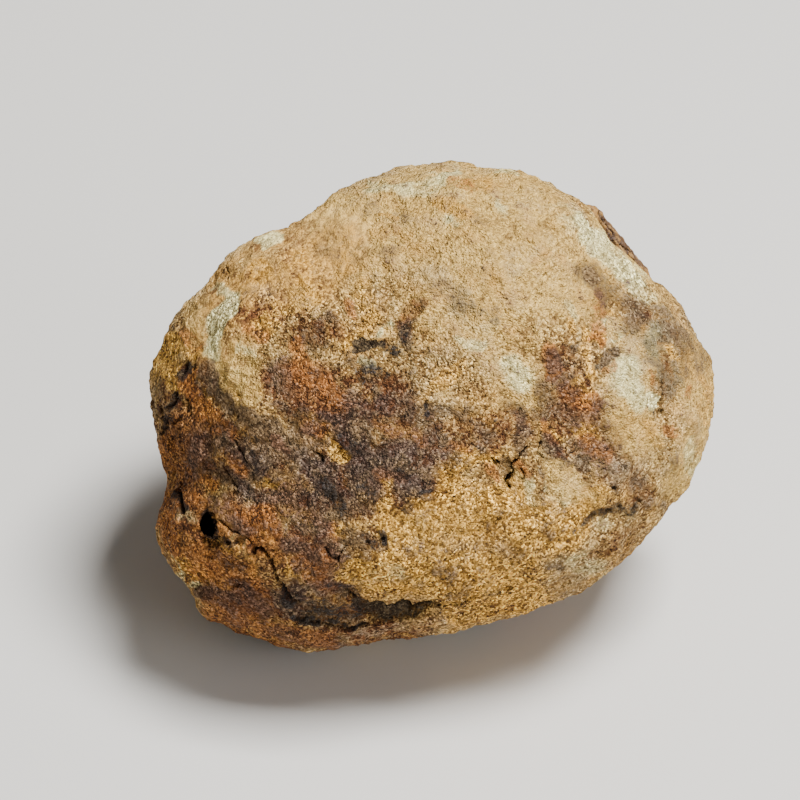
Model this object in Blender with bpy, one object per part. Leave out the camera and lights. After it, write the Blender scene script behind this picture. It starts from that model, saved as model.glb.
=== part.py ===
"""Trilobite nodule: a rounded, iron-stained stone concretion with the trilobite that it formed round.

Two solids are built. `nodule` is the stone: a leaning lump with a furrowed broad face, a flat worn spot
to rest on, and a split face behind, with a socket in it. `trilobite` is the fossil that lies in that socket.

Shapes are drawn in millimetres in the stone's own frame and then set down in the row frame, in metres:
U runs to the right, V up the broad face and W out of it, and the broad face leans back by LEAN degrees.
"""

import math

import bmesh
import bpy
from mathutils import Matrix, Vector, noise
from mathutils.bvhtree import BVHTree

MM = 0.001

# --- Driving dimensions, in millimetres and degrees ---------------------------------------------------------
FRONT_DEPTH = 21.0  # from the stone's heart to the crown of the broad face
BACK_DEPTH = 25.0  # from the heart to the back, before the split face is taken off
LEAN = 40.0
HEART = Vector((0.0, 0.1, 25.1))  # where the stone's heart is in the row frame
BOXINESS = 0.92  # 1 is an ellipse in section, less is squarer
MEAN_RADII = Vector((30.0, 25.5, FRONT_DEPTH))  # of the ellipsoid whose normals relief is raised along
SWELL, SWELL_LENGTH = 1.0, 12.0  # height and spacing of the broad swells
LUMP, LUMP_LENGTH = 0.42, 5.0  # and of the lumps on them

SPLIT_NORMAL = Vector((0.45, 0.50, -0.74)).normalized()
SPLIT_DISTANCE = 17.6  # from the heart to the split face
SPLIT_CROWN = 0.10  # share of the stone's own roundness that the split face keeps
SPLIT_ROUGHNESS = ((0.45, 4.2), (0.25, 1.9))  # height and spacing of its humps, and of the bumps on them
RIM_PLACE = (20.5, 16.8)  # (U, V) of the point on the split face's rim that the fossil's head faces
RIM_RUN = (0.64, -0.77)  # (U, V) direction of the rim there

FOSSIL_LENGTH = 33.0
FOSSIL_WIDTH = 22.0
HEAD_LENGTH = 10.5
TAIL_LENGTH = 8.0
SEGMENTS = 11
RIM_TO_HEAD = 1.5
SOCKET_DEPTH = 1.1
GAP = 0.3  # between the fossil and its socket

TRIANGLES = 5500  # that the stone's skin is reduced to
CUT_CLEARANCE = 1.2  # that a crack's or a hole's cutter stands proud of the skin
SOCKET_CUT_HEIGHT = 14.0

# The widest outline of the stone, seen along W, as (U, V) in millimetres.
OUTLINE = [
    (30.1, 1.3), (29.1, -4.1), (25.8, -10.4), (21.4, -15.5), (19.6, -17.7), (15.8, -19.8), (7.3, -23.0),
    (-3.4, -24.9), (-13.1, -26.2), (-21.1, -23.9), (-24.0, -22.4), (-26.1, -18.9), (-29.3, -15.0),
    (-29.8, -12.3), (-28.5, -7.9), (-29.6, -3.2), (-30.0, 1.1), (-29.1, 6.4), (-24.8, 12.6), (-19.7, 17.2),
    (-18.2, 18.1), (-16.4, 18.5), (-13.9, 19.9), (-9.0, 23.4), (-6.1, 24.3), (0.0, 25.7), (6.3, 25.5),
    (12.6, 23.8), (15.5, 22.0), (17.4, 20.3), (18.9, 18.1), (21.3, 15.8), (24.7, 12.6), (28.9, 6.6),
    (29.9, 3.8),
]  # fmt: skip

# Marks on the broad face, as (U, V) in millimetres.
CREASE = [(-31.0, -8.2), (-26.5, -8.4), (-22.5, -9.6), (-18.0, -9.2), (-13.5, -10.4), (-9.0, -11.2)]
CREASE_DEPTH, CREASE_REACH = 1.2, 4.2
CREASE_ENDS = (-5.0, -27.0)  # U where it has faded out, and where it is deepest
LOWER_ROLL = [(-24.0, -14.5), (-17.0, -15.5), (-9.0, -15.5), (0.0, -16.0)]
LOWER_ROLL_HEIGHT, LOWER_ROLL_REACH = 0.6, 5.0
SPALL = [(-13.6, -21.7), (-10.5, -22.3), (-7.0, -22.4), (-3.6, -21.9), (-0.6, -21.8)]
SPALL_DEPTH, SPALL_REACH = 0.9, 1.1
HOLLOW = ((7.0, -7.2), 2.4, 0.4)  # centre, radius and depth of the dent beside the forked crack
HEEL = (Vector((2.0, -19.5, -16.0)), 15.0, 1.2)  # centre, radius and height of the swell under the stone

# Open cracks on the broad face: each station is (U, V, width, depth).
CRACKS = {
    "shell_crack": [
        (-19.6, -15.0, 0.3, 0.5), (-18.2, -16.1, 0.4, 0.9), (-17.1, -17.7, 0.5, 1.2),
        (-16.3, -19.4, 0.6, 1.4), (-15.3, -20.7, 1.3, 1.8), (-14.2, -21.9, 0.5, 1.0),
    ],
    "ledge_crack": [
        (-8.9, -20.4, 0.3, 0.5), (-7.8, -21.1, 0.5, 1.0), (-5.2, -21.2, 0.5, 1.2), (-2.2, -21.4, 0.6, 1.4),
        (-0.3, -21.7, 1.0, 1.9), (1.2, -21.5, 0.6, 1.4), (3.0, -21.1, 0.3, 0.8), (5.1, -20.7, 0.2, 0.3),
    ],
    "seam_crack": [
        (-14.0, -22.4, 0.3, 0.5), (-10.9, -23.3, 0.5, 1.0), (-8.4, -23.6, 0.5, 1.1), (-5.0, -22.9, 0.3, 0.5),
    ],
    "forked_crack": [
        (10.2, -4.7, 0.2, 0.3), (9.5, -5.3, 0.3, 0.7), (9.2, -6.2, 0.3, 0.9), (8.5, -6.9, 0.4, 1.0),
        (8.5, -8.0, 0.4, 1.0), (8.0, -9.0, 0.2, 0.4),
    ],
}  # fmt: skip

# Holes that run into the broad face: (U, V), then half width, half height and depth.
HOLES = {
    "bore_hole": ((-23.8, -12.7), 1.10, 1.30, 3.0),
    "bore_pocket": ((-23.4, -14.9), 1.30, 0.90, 0.8),
    "small_pit": ((-20.7, -14.4), 0.75, 0.85, 0.8),
    "slit_pit": ((-19.0, -15.5), 0.35, 0.60, 1.2),
}

STONE_COLOUR = (0.42, 0.29, 0.15, 1.0)
FOSSIL_COLOUR = (0.24, 0.14, 0.07, 1.0)


# --- Frames -------------------------------------------------------------------------------------------------
def stone_to_row():
    """The stone's frame, in millimetres, to the row frame, in metres."""
    lean = math.radians(LEAN)
    turned = Matrix(
        (
            (1.0, 0.0, 0.0),
            (0.0, math.sin(lean), -math.cos(lean)),
            (0.0, math.cos(lean), math.sin(lean)),
        )
    )
    return Matrix.Scale(MM, 4) @ Matrix.Translation(HEART) @ turned.to_4x4()


def on_split_plane(u, v, distance):
    """The point over (U, V) on the plane that lies square to the split normal at a distance."""
    return Vector((u, v, (distance - SPLIT_NORMAL.x * u - SPLIT_NORMAL.y * v) / SPLIT_NORMAL.z))


SIDE = on_split_plane(*RIM_RUN, 0.0).normalized()  # across the fossil, along the rim
HEAD = SIDE.cross(SPLIT_NORMAL)  # along the fossil, towards the rim
FOSSIL_CENTRE = on_split_plane(*RIM_PLACE, SPLIT_DISTANCE) - HEAD * (RIM_TO_HEAD + FOSSIL_LENGTH / 2)


# --- Curves and falloffs ------------------------------------------------------------------------------------
def ease(x):
    """0 below 0, 1 above 1, and smooth between."""
    x = min(1.0, max(0.0, x))
    return x * x * (3.0 - 2.0 * x)


def path_distance(point, path):
    """Distance from a 2-D point to a line through the path's points."""
    nearest = 1e9
    for start, end in zip(path, path[1:]):
        a, b = Vector(start), Vector(end)
        along = (point - a).dot(b - a) / (b - a).length_squared
        nearest = min(nearest, (point - a.lerp(b, min(1.0, max(0.0, along)))).length)
    return nearest


def outline_table(steps=720):
    """Radius of the outline at even angles, read from a smooth curve through its points."""
    polar = sorted((math.atan2(v, u) % math.tau, math.hypot(u, v)) for u, v in OUTLINE)
    angles = [a for a, _ in polar]
    count = len(polar)
    radii = []
    for step in range(steps):
        angle = math.tau * step / steps
        after = next((i for i, a in enumerate(angles) if a > angle), 0)
        knots = [polar[(after + k) % count] for k in (-2, -1, 0, 1)]
        turn = [((a - angle + math.pi) % math.tau) - math.pi for a, _ in knots]
        radius = [r for _, r in knots]
        span = turn[2] - turn[1]
        slope_in = (radius[2] - radius[0]) / (turn[2] - turn[0]) * span
        slope_out = (radius[3] - radius[1]) / (turn[3] - turn[1]) * span
        x = -turn[1] / span
        radii.append(
            radius[1] * (1 + 2 * x) * (1 - x) ** 2
            + slope_in * x * (1 - x) ** 2
            + radius[2] * x * x * (3 - 2 * x)
            + slope_out * x * x * (x - 1)
        )
    return radii


def softened(radii, reach=36):
    """The same outline with its small bumps evened out."""
    count = len(radii)
    return [
        sum(radii[(i + k) % count] for k in range(-reach, reach + 1)) / (2 * reach + 1)
        for i in range(count)
    ]


RADII = outline_table()
SOFT_RADII = softened(RADII)


# --- The stone's skin ---------------------------------------------------------------------------------------
def body_point(direction):
    """Where the rounded stone's skin lies, for a direction from its heart."""
    flat = min(1.0, math.hypot(direction.x, direction.y))
    place = (math.atan2(direction.y, direction.x) % math.tau) / math.tau * len(RADII)
    low, part = int(place) % len(RADII), place % 1.0
    high = (low + 1) % len(RADII)
    radius = RADII[low] * (1 - part) + RADII[high] * part
    soft = SOFT_RADII[low] * (1 - part) + SOFT_RADII[high] * part
    radius = soft + (radius - soft) * flat**3
    across = radius * flat**BOXINESS
    depth = FRONT_DEPTH if direction.z > 0 else BACK_DEPTH
    out = math.copysign(depth * abs(direction.z) ** BOXINESS, direction.z)
    if flat < 1e-6:
        return Vector((0.0, 0.0, out))
    return Vector((direction.x / flat * across, direction.y / flat * across, out))


def outward_at(point):
    """The outward direction of the rounded stone, without its lumps."""
    return Vector([p / r**2 for p, r in zip(point, MEAN_RADII)]).normalized()


def undulation(point, rim):
    """Broad swells and lumps, which fade towards the outline so that it keeps its shape."""
    broad = SWELL * noise.noise(point / SWELL_LENGTH + Vector((3.1, 0.0, 7.7)))
    lumps = LUMP * noise.noise(point / LUMP_LENGTH + Vector((9.0, 4.0, 1.0)))
    centre, radius, height = HEEL
    heel = height * (1.0 - ease((point - centre).length / radius))
    return (broad + lumps) * (1.0 - 0.75 * rim**6) + heel * (point.z < 0.0)


def face_relief(point):
    """Height of the marks on the broad face."""
    spot = Vector((point.x, point.y))
    faded, deepest = CREASE_ENDS
    fade = ease((faded - spot.x) / (faded - deepest)) ** 0.7
    height = -CREASE_DEPTH * fade * (1.0 - ease(path_distance(spot, CREASE) / CREASE_REACH))
    height += LOWER_ROLL_HEIGHT * (1.0 - ease(path_distance(spot, LOWER_ROLL) / LOWER_ROLL_REACH))
    spall = path_distance(spot, SPALL) / SPALL_REACH
    height -= SPALL_DEPTH * (1.0 - ease((spall - 0.6) / 0.5))
    centre, radius, depth = HOLLOW
    height -= depth * (1.0 - ease(((spot - Vector(centre)).length / radius - 0.5) / 0.5))
    return height


def split_relief(point):
    """Height of the roughness of the split face."""
    return sum(height * noise.noise(point / spacing) for height, spacing in SPLIT_ROUGHNESS)


def skin_point(direction):
    """A point of the finished skin, in the stone's frame."""
    point = body_point(direction)
    outward = outward_at(point)
    rim = math.hypot(direction.x, direction.y)
    point += outward * undulation(point, rim)
    if direction.z > 0.0:
        point += outward * face_relief(point) * ease(direction.z / 0.15)
    beyond = point.dot(SPLIT_NORMAL) - SPLIT_DISTANCE
    if beyond > 0.0:
        point -= SPLIT_NORMAL * beyond * (1.0 - SPLIT_CROWN)
        point += SPLIT_NORMAL * split_relief(point) * ease(beyond / 0.4)
    return point


def object_from(name, bm):
    """A new object of a mesh that is drawn in the stone's frame, set down in the row frame."""
    bm.transform(stone_to_row())
    bmesh.ops.recalc_face_normals(bm, faces=bm.faces)
    mesh = bpy.data.meshes.new(name)
    bm.to_mesh(mesh)
    bm.free()
    made = bpy.data.objects.new(name, mesh)
    bpy.context.scene.collection.objects.link(made)
    return made


def skin_mesh():
    bm = bmesh.new()
    bmesh.ops.create_icosphere(bm, subdivisions=7, radius=1.0)
    for vert in bm.verts:
        vert.co = skin_point(vert.co.normalized())
    bm.normal_update()
    return bm


# --- The trilobite ------------------------------------------------------------------------------------------
# Its places are (s, t): s along its axis towards the head, and t to either side.
HEAD_END = FOSSIL_LENGTH / 2
HEAD_BACK = HEAD_END - HEAD_LENGTH
TAIL_END = -FOSSIL_LENGTH / 2
TAIL_FRONT = TAIL_END + TAIL_LENGTH
PITCH = (HEAD_BACK - TAIL_FRONT) / SEGMENTS
# Shares of the half width where the columns lie, behind the head and on it.
COLUMNS = (0.0, 0.13, 0.24, 0.31, 0.38, 0.49, 0.61, 0.73, 0.84, 0.93, 1.0)
HEAD_COLUMNS = (0.0, 0.16, 0.29, 0.40, 0.49, 0.57, 0.65, 0.73, 0.82, 0.92, 1.0)
EDGE_HEIGHT = 0.45  # of the fossil's margin above the split face
NARROWEST = 0.35  # half width of the first and last rows
SCALLOP = 0.3  # that the rib tips stand out from the furrows between them
AXIS_HALF_WIDTH = 3.2
EYE_PLACE, EYE_SIZE = (HEAD_BACK + 4.7, 6.8), (2.3, 1.8)  # centre and radii, each as (s, t)
GLABELLA_BACK, GLABELLA_END = HEAD_BACK + 2.0, HEAD_END - 0.3
GLABELLA_HEIGHT = 3.1  # of its crown above the cheeks
GLABELLA_FLARE = 3.3  # that its front is wider to each side than the axis


def bump(x, middle, reach):
    return math.exp(-(((x - middle) / reach) ** 2))


def dome(x, power, fall):
    """1 at 0, falling to 0 at 1 and beyond."""
    return max(0.0, 1.0 - abs(x) ** power) ** fall


def half_width(s):
    """Half the fossil's width at a place along its axis."""
    half = FOSSIL_WIDTH / 2
    if s > HEAD_BACK:
        return half * dome((s - HEAD_BACK) / HEAD_LENGTH, 2.3, 0.48)
    if s > TAIL_FRONT:
        share = (HEAD_BACK - s) / (HEAD_BACK - TAIL_FRONT)
        return half * (0.95 - 0.14 * share**1.5)
    return half * 0.81 * dome((TAIL_FRONT - s) / TAIL_LENGTH, 2.2, 0.5)


def swept_back(s, across):
    """How far back the ribs and the head's rear corners are swept, at a share of the half width."""
    along = min(1.0, (HEAD_END - s) / HEAD_LENGTH, (s - TAIL_END) / TAIL_LENGTH)
    return 1.5 * along * across**3


def margin(s):
    """Half width with the rib tips' scallops."""
    in_thorax = TAIL_FRONT < s < HEAD_BACK
    return max(NARROWEST, half_width(s)) + SCALLOP * in_thorax * (segment_profile(s, PITCH) - 1.0)


def segment_profile(s, pitch):
    """0 in the furrow between two segments and 1 on the segment."""
    return abs(math.sin(math.pi * (HEAD_BACK - s) / pitch)) ** 0.7


def glabella(s, t):
    """The swollen middle of the head, which widens forwards and stands over the front margin."""
    along = (s - GLABELLA_BACK) / (GLABELLA_END - GLABELLA_BACK)
    front = max(0.0, (along - 0.5) / 0.5)
    half = (AXIS_HALF_WIDTH + GLABELLA_FLARE * ease((along - 0.35) / 0.45)) * dome(front, 5.0, 0.5)
    if along < 0.0 or half < 0.05:
        return 0.0
    across = t / half
    height = 2.0 + (GLABELLA_HEIGHT - 2.0) * ease(along / 0.7)
    height *= dome(across, 3.2, 0.6) * dome(front, 2.4, 0.45)
    beside = ease((abs(across) - 0.35) / 0.3) * (abs(across) < 1.0)
    for place in (0.16, 0.36):
        height -= 0.4 * beside * bump(along + 0.08 * abs(across), place, 0.035)
    return height * ease(along / 0.08) - 0.4 * bump(abs(across), 1.1, 0.18)


def head_height(s, t, across):
    front = (s - HEAD_BACK) / HEAD_LENGTH
    cheek = 3.6 * dome(across, 2.6, 0.8) * (1.0 - 0.75 * front**2)
    border = 0.5 * ease((across - 0.88) / 0.06) - 0.35 * bump(across, 0.84, 0.04)
    collar = 2.3 * dome(t / (AXIS_HALF_WIDTH + 0.1), 2.0, 0.6) * bump(s, HEAD_BACK + 0.9, 0.75)
    rear = 0.4 * (bump(s, HEAD_BACK + 0.5, 0.6) - bump(s, HEAD_BACK + 1.6, 0.4))
    rear *= ease((abs(t) - AXIS_HALF_WIDTH) / 0.8) * (1.0 - ease((across - 0.8) / 0.15))
    eye = math.hypot((s - EYE_PLACE[0]) / EYE_SIZE[0], (abs(t) - EYE_PLACE[1]) / EYE_SIZE[1])
    lobe = 1.8 * (1.0 - ease((eye - 0.4) / 0.8))
    return cheek + border + collar + rear + glabella(s, t) + lobe


def body_height(s, t, across):
    """Height of the thorax, and of the tail shield, whose relief fades towards its end."""
    tail = max(0.0, (TAIL_FRONT - s) / TAIL_LENGTH)
    thorax = min(1.0, (HEAD_BACK - s) / (HEAD_BACK - TAIL_FRONT))
    vault = (3.5 - 1.6 * tail) * dome(across, 3.0, 0.75)
    width = max(0.4, (AXIS_HALF_WIDTH - 0.7 * thorax) * dome(tail / 0.88, 1.6, 0.8))
    ring = (2.4 - 0.9 * tail) * dome(t / width, 2.0, 0.55) * (tail < 0.88)
    groove = -0.4 * bump(abs(t) / width, 1.12, 0.15) * (1.0 - tail)
    back_turned = s + 0.3 * abs(t) if tail > 0.0 else s
    pitch = PITCH * 0.7 if tail > 0.0 else PITCH
    depth = 0.65 * (1.0 - 0.7 * tail) * (1.0 - ease((across - 0.92) / 0.08))
    return vault + ring + groove + depth * (segment_profile(back_turned, pitch) - 0.6)


def fossil_height(s, t, across):
    """Height of the fossil above the split face."""
    height = head_height(s, t, across) if s > HEAD_BACK else body_height(s, t, across)
    arch = 1.2 * (1.0 - (s / HEAD_END) ** 2) * (1.0 - across**2)
    return EDGE_HEIGHT + height + arch


def axis_stations():
    """Places along the axis where the fossil's rows lie, with four rows to a segment."""
    head = [HEAD_BACK + HEAD_LENGTH * math.sin(math.pi / 2 * k / 18) for k in range(18, 0, -1)]
    thorax = [HEAD_BACK - PITCH * (k + part) for k in range(SEGMENTS) for part in (0.0, 0.2, 0.5, 0.8)]
    tail = [TAIL_FRONT - TAIL_LENGTH * math.sin(math.pi / 2 * k / 12) for k in range(13)]
    return head + thorax + tail


def on_split_face(s, t, height):
    """A point over the split face, in the stone's frame."""
    return FOSSIL_CENTRE + HEAD * s + SIDE * t + SPLIT_NORMAL * height


def fossil_mesh():
    """The fossil as a grid of rows across its axis, with a flat underside in the socket."""
    bm = bmesh.new()
    rows = []
    for s in axis_stations():
        half = margin(s)
        columns = HEAD_COLUMNS if s > HEAD_BACK else COLUMNS
        row = []
        for share in [-c for c in reversed(columns[1:])] + list(columns):
            place = s - swept_back(s, abs(share))
            height = fossil_height(s, share * half, abs(share))
            row.append(bm.verts.new(on_split_face(place, share * half, height)))
        rows.append(row)
    for upper, lower in zip(rows, rows[1:]):
        for k in range(len(upper) - 1):
            bm.faces.new((upper[k], upper[k + 1], lower[k + 1], lower[k]))
    edge = [e for e in bm.edges if e.is_boundary]
    wall = bmesh.ops.extrude_edge_only(bm, edges=edge)["geom"]
    underside = SPLIT_DISTANCE + GAP - SOCKET_DEPTH
    for vert in [g for g in wall if isinstance(g, bmesh.types.BMVert)]:
        vert.co -= SPLIT_NORMAL * (vert.co.dot(SPLIT_NORMAL) - underside)
    bmesh.ops.contextual_create(bm, geom=[g for g in wall if isinstance(g, bmesh.types.BMEdge)])
    return bm


# --- Cutters ------------------------------------------------------------------------------------------------
def cut(stone, cutter):
    cutter.hide_render = True
    cutter.display_type = "WIRE"
    taken = stone.modifiers.new(cutter.name, "BOOLEAN")
    taken.operation = "DIFFERENCE"
    taken.solver = "EXACT"
    taken.object = cutter


def floor_cutter():
    """Everything below the worn spot that the stone rests on."""
    bm = bmesh.new()
    bmesh.ops.create_cube(bm, size=100.0, matrix=Matrix.Translation((0.0, 0.0, -50.0)))
    bm.transform(stone_to_row().inverted() @ Matrix.Scale(MM, 4))
    return object_from("floor_cutter", bm)


def socket_cutter():
    """The fossil's footprint, a little wider, from the socket's floor outwards."""
    right = [
        Vector((s - swept_back(s, 1.0), max(NARROWEST, half_width(s)) + GAP)) for s in axis_stations()
    ]
    right[0].x += GAP
    right[-1].x -= GAP
    left = [Vector((p.x, -p.y)) for p in reversed(right)]
    bm = bmesh.new()
    face = bm.faces.new([bm.verts.new(on_split_face(p.x, p.y, -SOCKET_DEPTH)) for p in right + left])
    raised = bmesh.ops.extrude_face_region(bm, geom=[face])["geom"]
    for vert in [g for g in raised if isinstance(g, bmesh.types.BMVert)]:
        vert.co += SPLIT_NORMAL * SOCKET_CUT_HEIGHT
    return object_from("socket_cutter", bm)


def surface_at(tree, u, v):
    """The broad face's point over a place (U, V), and the outward direction of the rounded stone there."""
    point = tree.ray_cast(Vector((u, v, 60.0)), Vector((0.0, 0.0, -1.0)))[0]
    return point, outward_at(point)


def tube(name, rings):
    """A closed tube through rings of places."""
    bm = bmesh.new()
    rings = [[bm.verts.new(place) for place in ring] for ring in rings]
    count = len(rings[0])
    for first, second in zip(rings, rings[1:]):
        for k in range(count):
            bm.faces.new((first[k], first[(k + 1) % count], second[(k + 1) % count], second[k]))
    bm.faces.new(rings[0])
    bm.faces.new(reversed(rings[-1]))
    return object_from(name, bm)


def crack_cutter(name, stations, tree):
    """A blade along a crack: a V in section, open above the skin and sharp below it."""
    rings = []
    for k, (u, v, width, depth) in enumerate(stations):
        before, after = stations[max(0, k - 1)], stations[min(len(stations) - 1, k + 1)]
        along = Vector((after[0] - before[0], after[1] - before[1], 0.0)).normalized()
        point, normal = surface_at(tree, u, v)
        across = along.cross(normal).normalized()
        top = point + normal * CUT_CLEARANCE
        spread = width * (depth + CUT_CLEARANCE) / depth
        rings.append((top + across * spread / 2, top - across * spread / 2, point - normal * depth))
    return tube(name, rings)


def hole_cutter(name, hole, tree):
    """A blunt tapered plug that leaves a hole."""
    (u, v), half_wide, half_high, depth = hole
    point, normal = surface_at(tree, u, v)
    side = Vector((0.0, 1.0, 0.0)).cross(normal).normalized()
    up = normal.cross(side)
    levels = ((CUT_CLEARANCE, 1.25), (0.0, 1.0), (-0.55 * depth, 0.85), (-0.9 * depth, 0.55), (-depth, 0.2))
    sides = 12
    rings = []
    for height, scale in levels:
        circle = []
        for k in range(sides):
            angle = math.tau * k / sides
            uneven = 1.0 + 0.14 * noise.noise(Vector((math.cos(angle), math.sin(angle), u)) * 1.7)
            offset = side * math.cos(angle) * half_wide + up * math.sin(angle) * half_high
            circle.append(point + normal * height + offset * scale * uneven)
        rings.append(circle)
    return tube(name, rings)


# --- Objects ------------------------------------------------------------------------------------------------
def add_material(made, name, colour, roughness):
    material = bpy.data.materials.new(name)
    material.use_nodes = True
    shader = material.node_tree.nodes["Principled BSDF"]
    shader.inputs["Base Color"].default_value = colour
    shader.inputs["Roughness"].default_value = roughness
    shader.inputs["Metallic"].default_value = 0.0
    made.data.materials.append(material)


def shade(made, angle):
    """Smooth shading, but for edges sharper than an angle."""
    made.data.shade_smooth()
    made.data.set_sharp_from_angle(angle=math.radians(angle))


def make_nodule():
    bm = skin_mesh()
    tree = BVHTree.FromBMesh(bm)
    faces = len(bm.faces)
    stone = object_from("nodule", bm)
    fewer = stone.modifiers.new("fewer_faces", "DECIMATE")
    fewer.ratio = TRIANGLES / faces
    cut(stone, floor_cutter())
    cut(stone, socket_cutter())
    for name, hole in HOLES.items():
        cut(stone, hole_cutter(name, hole, tree))
    for name, stations in CRACKS.items():
        cut(stone, crack_cutter(name, stations, tree))
    shade(stone, 35.0)
    add_material(stone, "weathered_mudstone", STONE_COLOUR, 0.9)


def make_trilobite():
    fossil = object_from("trilobite", fossil_mesh())
    shade(fossil, 60.0)
    add_material(fossil, "limonite_cast", FOSSIL_COLOUR, 0.6)


def main():
    for leftover in list(bpy.data.objects):
        bpy.data.objects.remove(leftover)
    make_nodule()
    make_trilobite()


main()
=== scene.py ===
"""Dresses the trilobite nodule: the weathered stone, the fossil in its split face, and a plain studio stage.

Run it as a script. Each piece is one operator, and the sizes and colours that a user would change are
properties in the 3D view's sidebar, on the Nodule tab.
"""

import math

import bpy
import numpy as np
from bpy.props import FloatProperty, FloatVectorProperty, IntProperty, PointerProperty
from mathutils import Matrix, Vector, noise


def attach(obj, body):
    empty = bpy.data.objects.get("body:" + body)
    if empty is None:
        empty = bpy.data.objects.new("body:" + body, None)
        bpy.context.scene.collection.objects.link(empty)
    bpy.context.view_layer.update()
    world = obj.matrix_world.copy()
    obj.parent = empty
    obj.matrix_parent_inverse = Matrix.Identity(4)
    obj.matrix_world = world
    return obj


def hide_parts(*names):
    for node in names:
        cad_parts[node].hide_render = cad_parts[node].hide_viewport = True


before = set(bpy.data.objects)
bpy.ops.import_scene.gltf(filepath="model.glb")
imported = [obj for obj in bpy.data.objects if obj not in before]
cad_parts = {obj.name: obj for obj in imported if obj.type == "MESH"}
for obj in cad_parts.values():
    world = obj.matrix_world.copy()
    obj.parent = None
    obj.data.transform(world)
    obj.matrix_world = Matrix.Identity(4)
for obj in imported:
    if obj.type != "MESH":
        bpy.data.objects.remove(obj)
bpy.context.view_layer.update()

bl_info = {
    "name": "Trilobite nodule",
    "version": (1, 0, 0),
    "blender": (4, 5, 0),
    "location": "View3D > Sidebar > Nodule",
    "description": "Builds a weathered stone nodule with a trilobite in its split face",
    "category": "Object",
}

MM = 0.001

# --- The stone's frame --------------------------------------------------------------------------------------
# U runs right, V up the broad face and W out of it, in millimetres from the stone's heart.
LEAN = math.radians(40.0)
HEART = np.array((0.0, 0.1, 25.1))
STONE_AXES = np.array(
    (
        (1.0, 0.0, 0.0),
        (0.0, math.sin(LEAN), math.cos(LEAN)),
        (0.0, -math.cos(LEAN), math.sin(LEAN)),
    )
)

# Marks on the broad face are placed in steps of the camera's square frame, x right and y down.
FRAME_STEPS = 800.0  # to each side of the frame
FRAME_MIDDLE = np.array((400.0, 400.0))
HEART_STEP = np.array((432.0, 405.0))  # where the heart stands in the frame
STEP = 0.107  # millimetres to one step, on the plane through the heart
VIEW_DISTANCE = 520.0  # from the camera to the stone's heart

# --- The split face and the fossil on it: s runs towards the head and t to either side, in millimetres ------
SPLIT_NORMAL = np.array((0.45, 0.50, -0.74)) / math.hypot(0.45, 0.50, 0.74)
SPLIT_DISTANCE = 17.6  # from the heart
RIM_PLACE = (20.5, 16.8)  # (U, V) of the rim point that the head faces
RIM_RUN = np.array((0.64, -0.77)) / math.hypot(0.64, 0.77)  # along the rim there
RIM_OUT = np.array((-RIM_RUN[1], RIM_RUN[0]))  # square to it, out of the stone
RIM_REACH = 5.6  # that the crust is broken back to either side of the rim point
FOSSIL_LENGTH, FOSSIL_WIDTH = 33.0, 22.0
HEAD_LENGTH, TAIL_LENGTH, SEGMENTS = 10.5, 8.0, 11
RIM_TO_HEAD = 1.5
SOCKET_DEPTH, GAP = 1.1, 0.3
EDGE_HEIGHT = 0.45  # of the fossil's margin above the split face
NARROWEST, SCALLOP = 0.35, 0.3
AXIS_HALF_WIDTH = 3.2
ARCH_HEIGHT = 1.2  # of the whole fossil, bent up in the middle
VAULT_HEIGHT, RING_HEIGHT = 3.5, 2.4  # of the thorax, and of the axis rings on it
CHEEK_HEIGHT, EYE_HEIGHT = 3.6, 1.9
GLABELLA_RISE, GLABELLA_HEIGHT = 2.0, 3.1  # above the cheeks, of its back and of its crown
GLABELLA_FLARE = 3.7  # that its front is wider to each side than the axis
SWEEP = 1.5  # that the ribs' ends and the head's rear corners lie further back
TAIL_AXIS_END = 0.88  # of the tail's length
LARGEST_WART = 0.48  # its radius
HEAD_END, TAIL_END = FOSSIL_LENGTH / 2, -FOSSIL_LENGTH / 2
HEAD_BACK, TAIL_FRONT = HEAD_END - HEAD_LENGTH, TAIL_END + TAIL_LENGTH
PITCH = (HEAD_BACK - TAIL_FRONT) / SEGMENTS
EYE_PLACE, EYE_SIZE = (HEAD_BACK + 4.7, 6.8), (2.3, 1.8)
GLABELLA_BACK, GLABELLA_END = HEAD_BACK + 2.0, HEAD_END - 0.3

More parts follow.
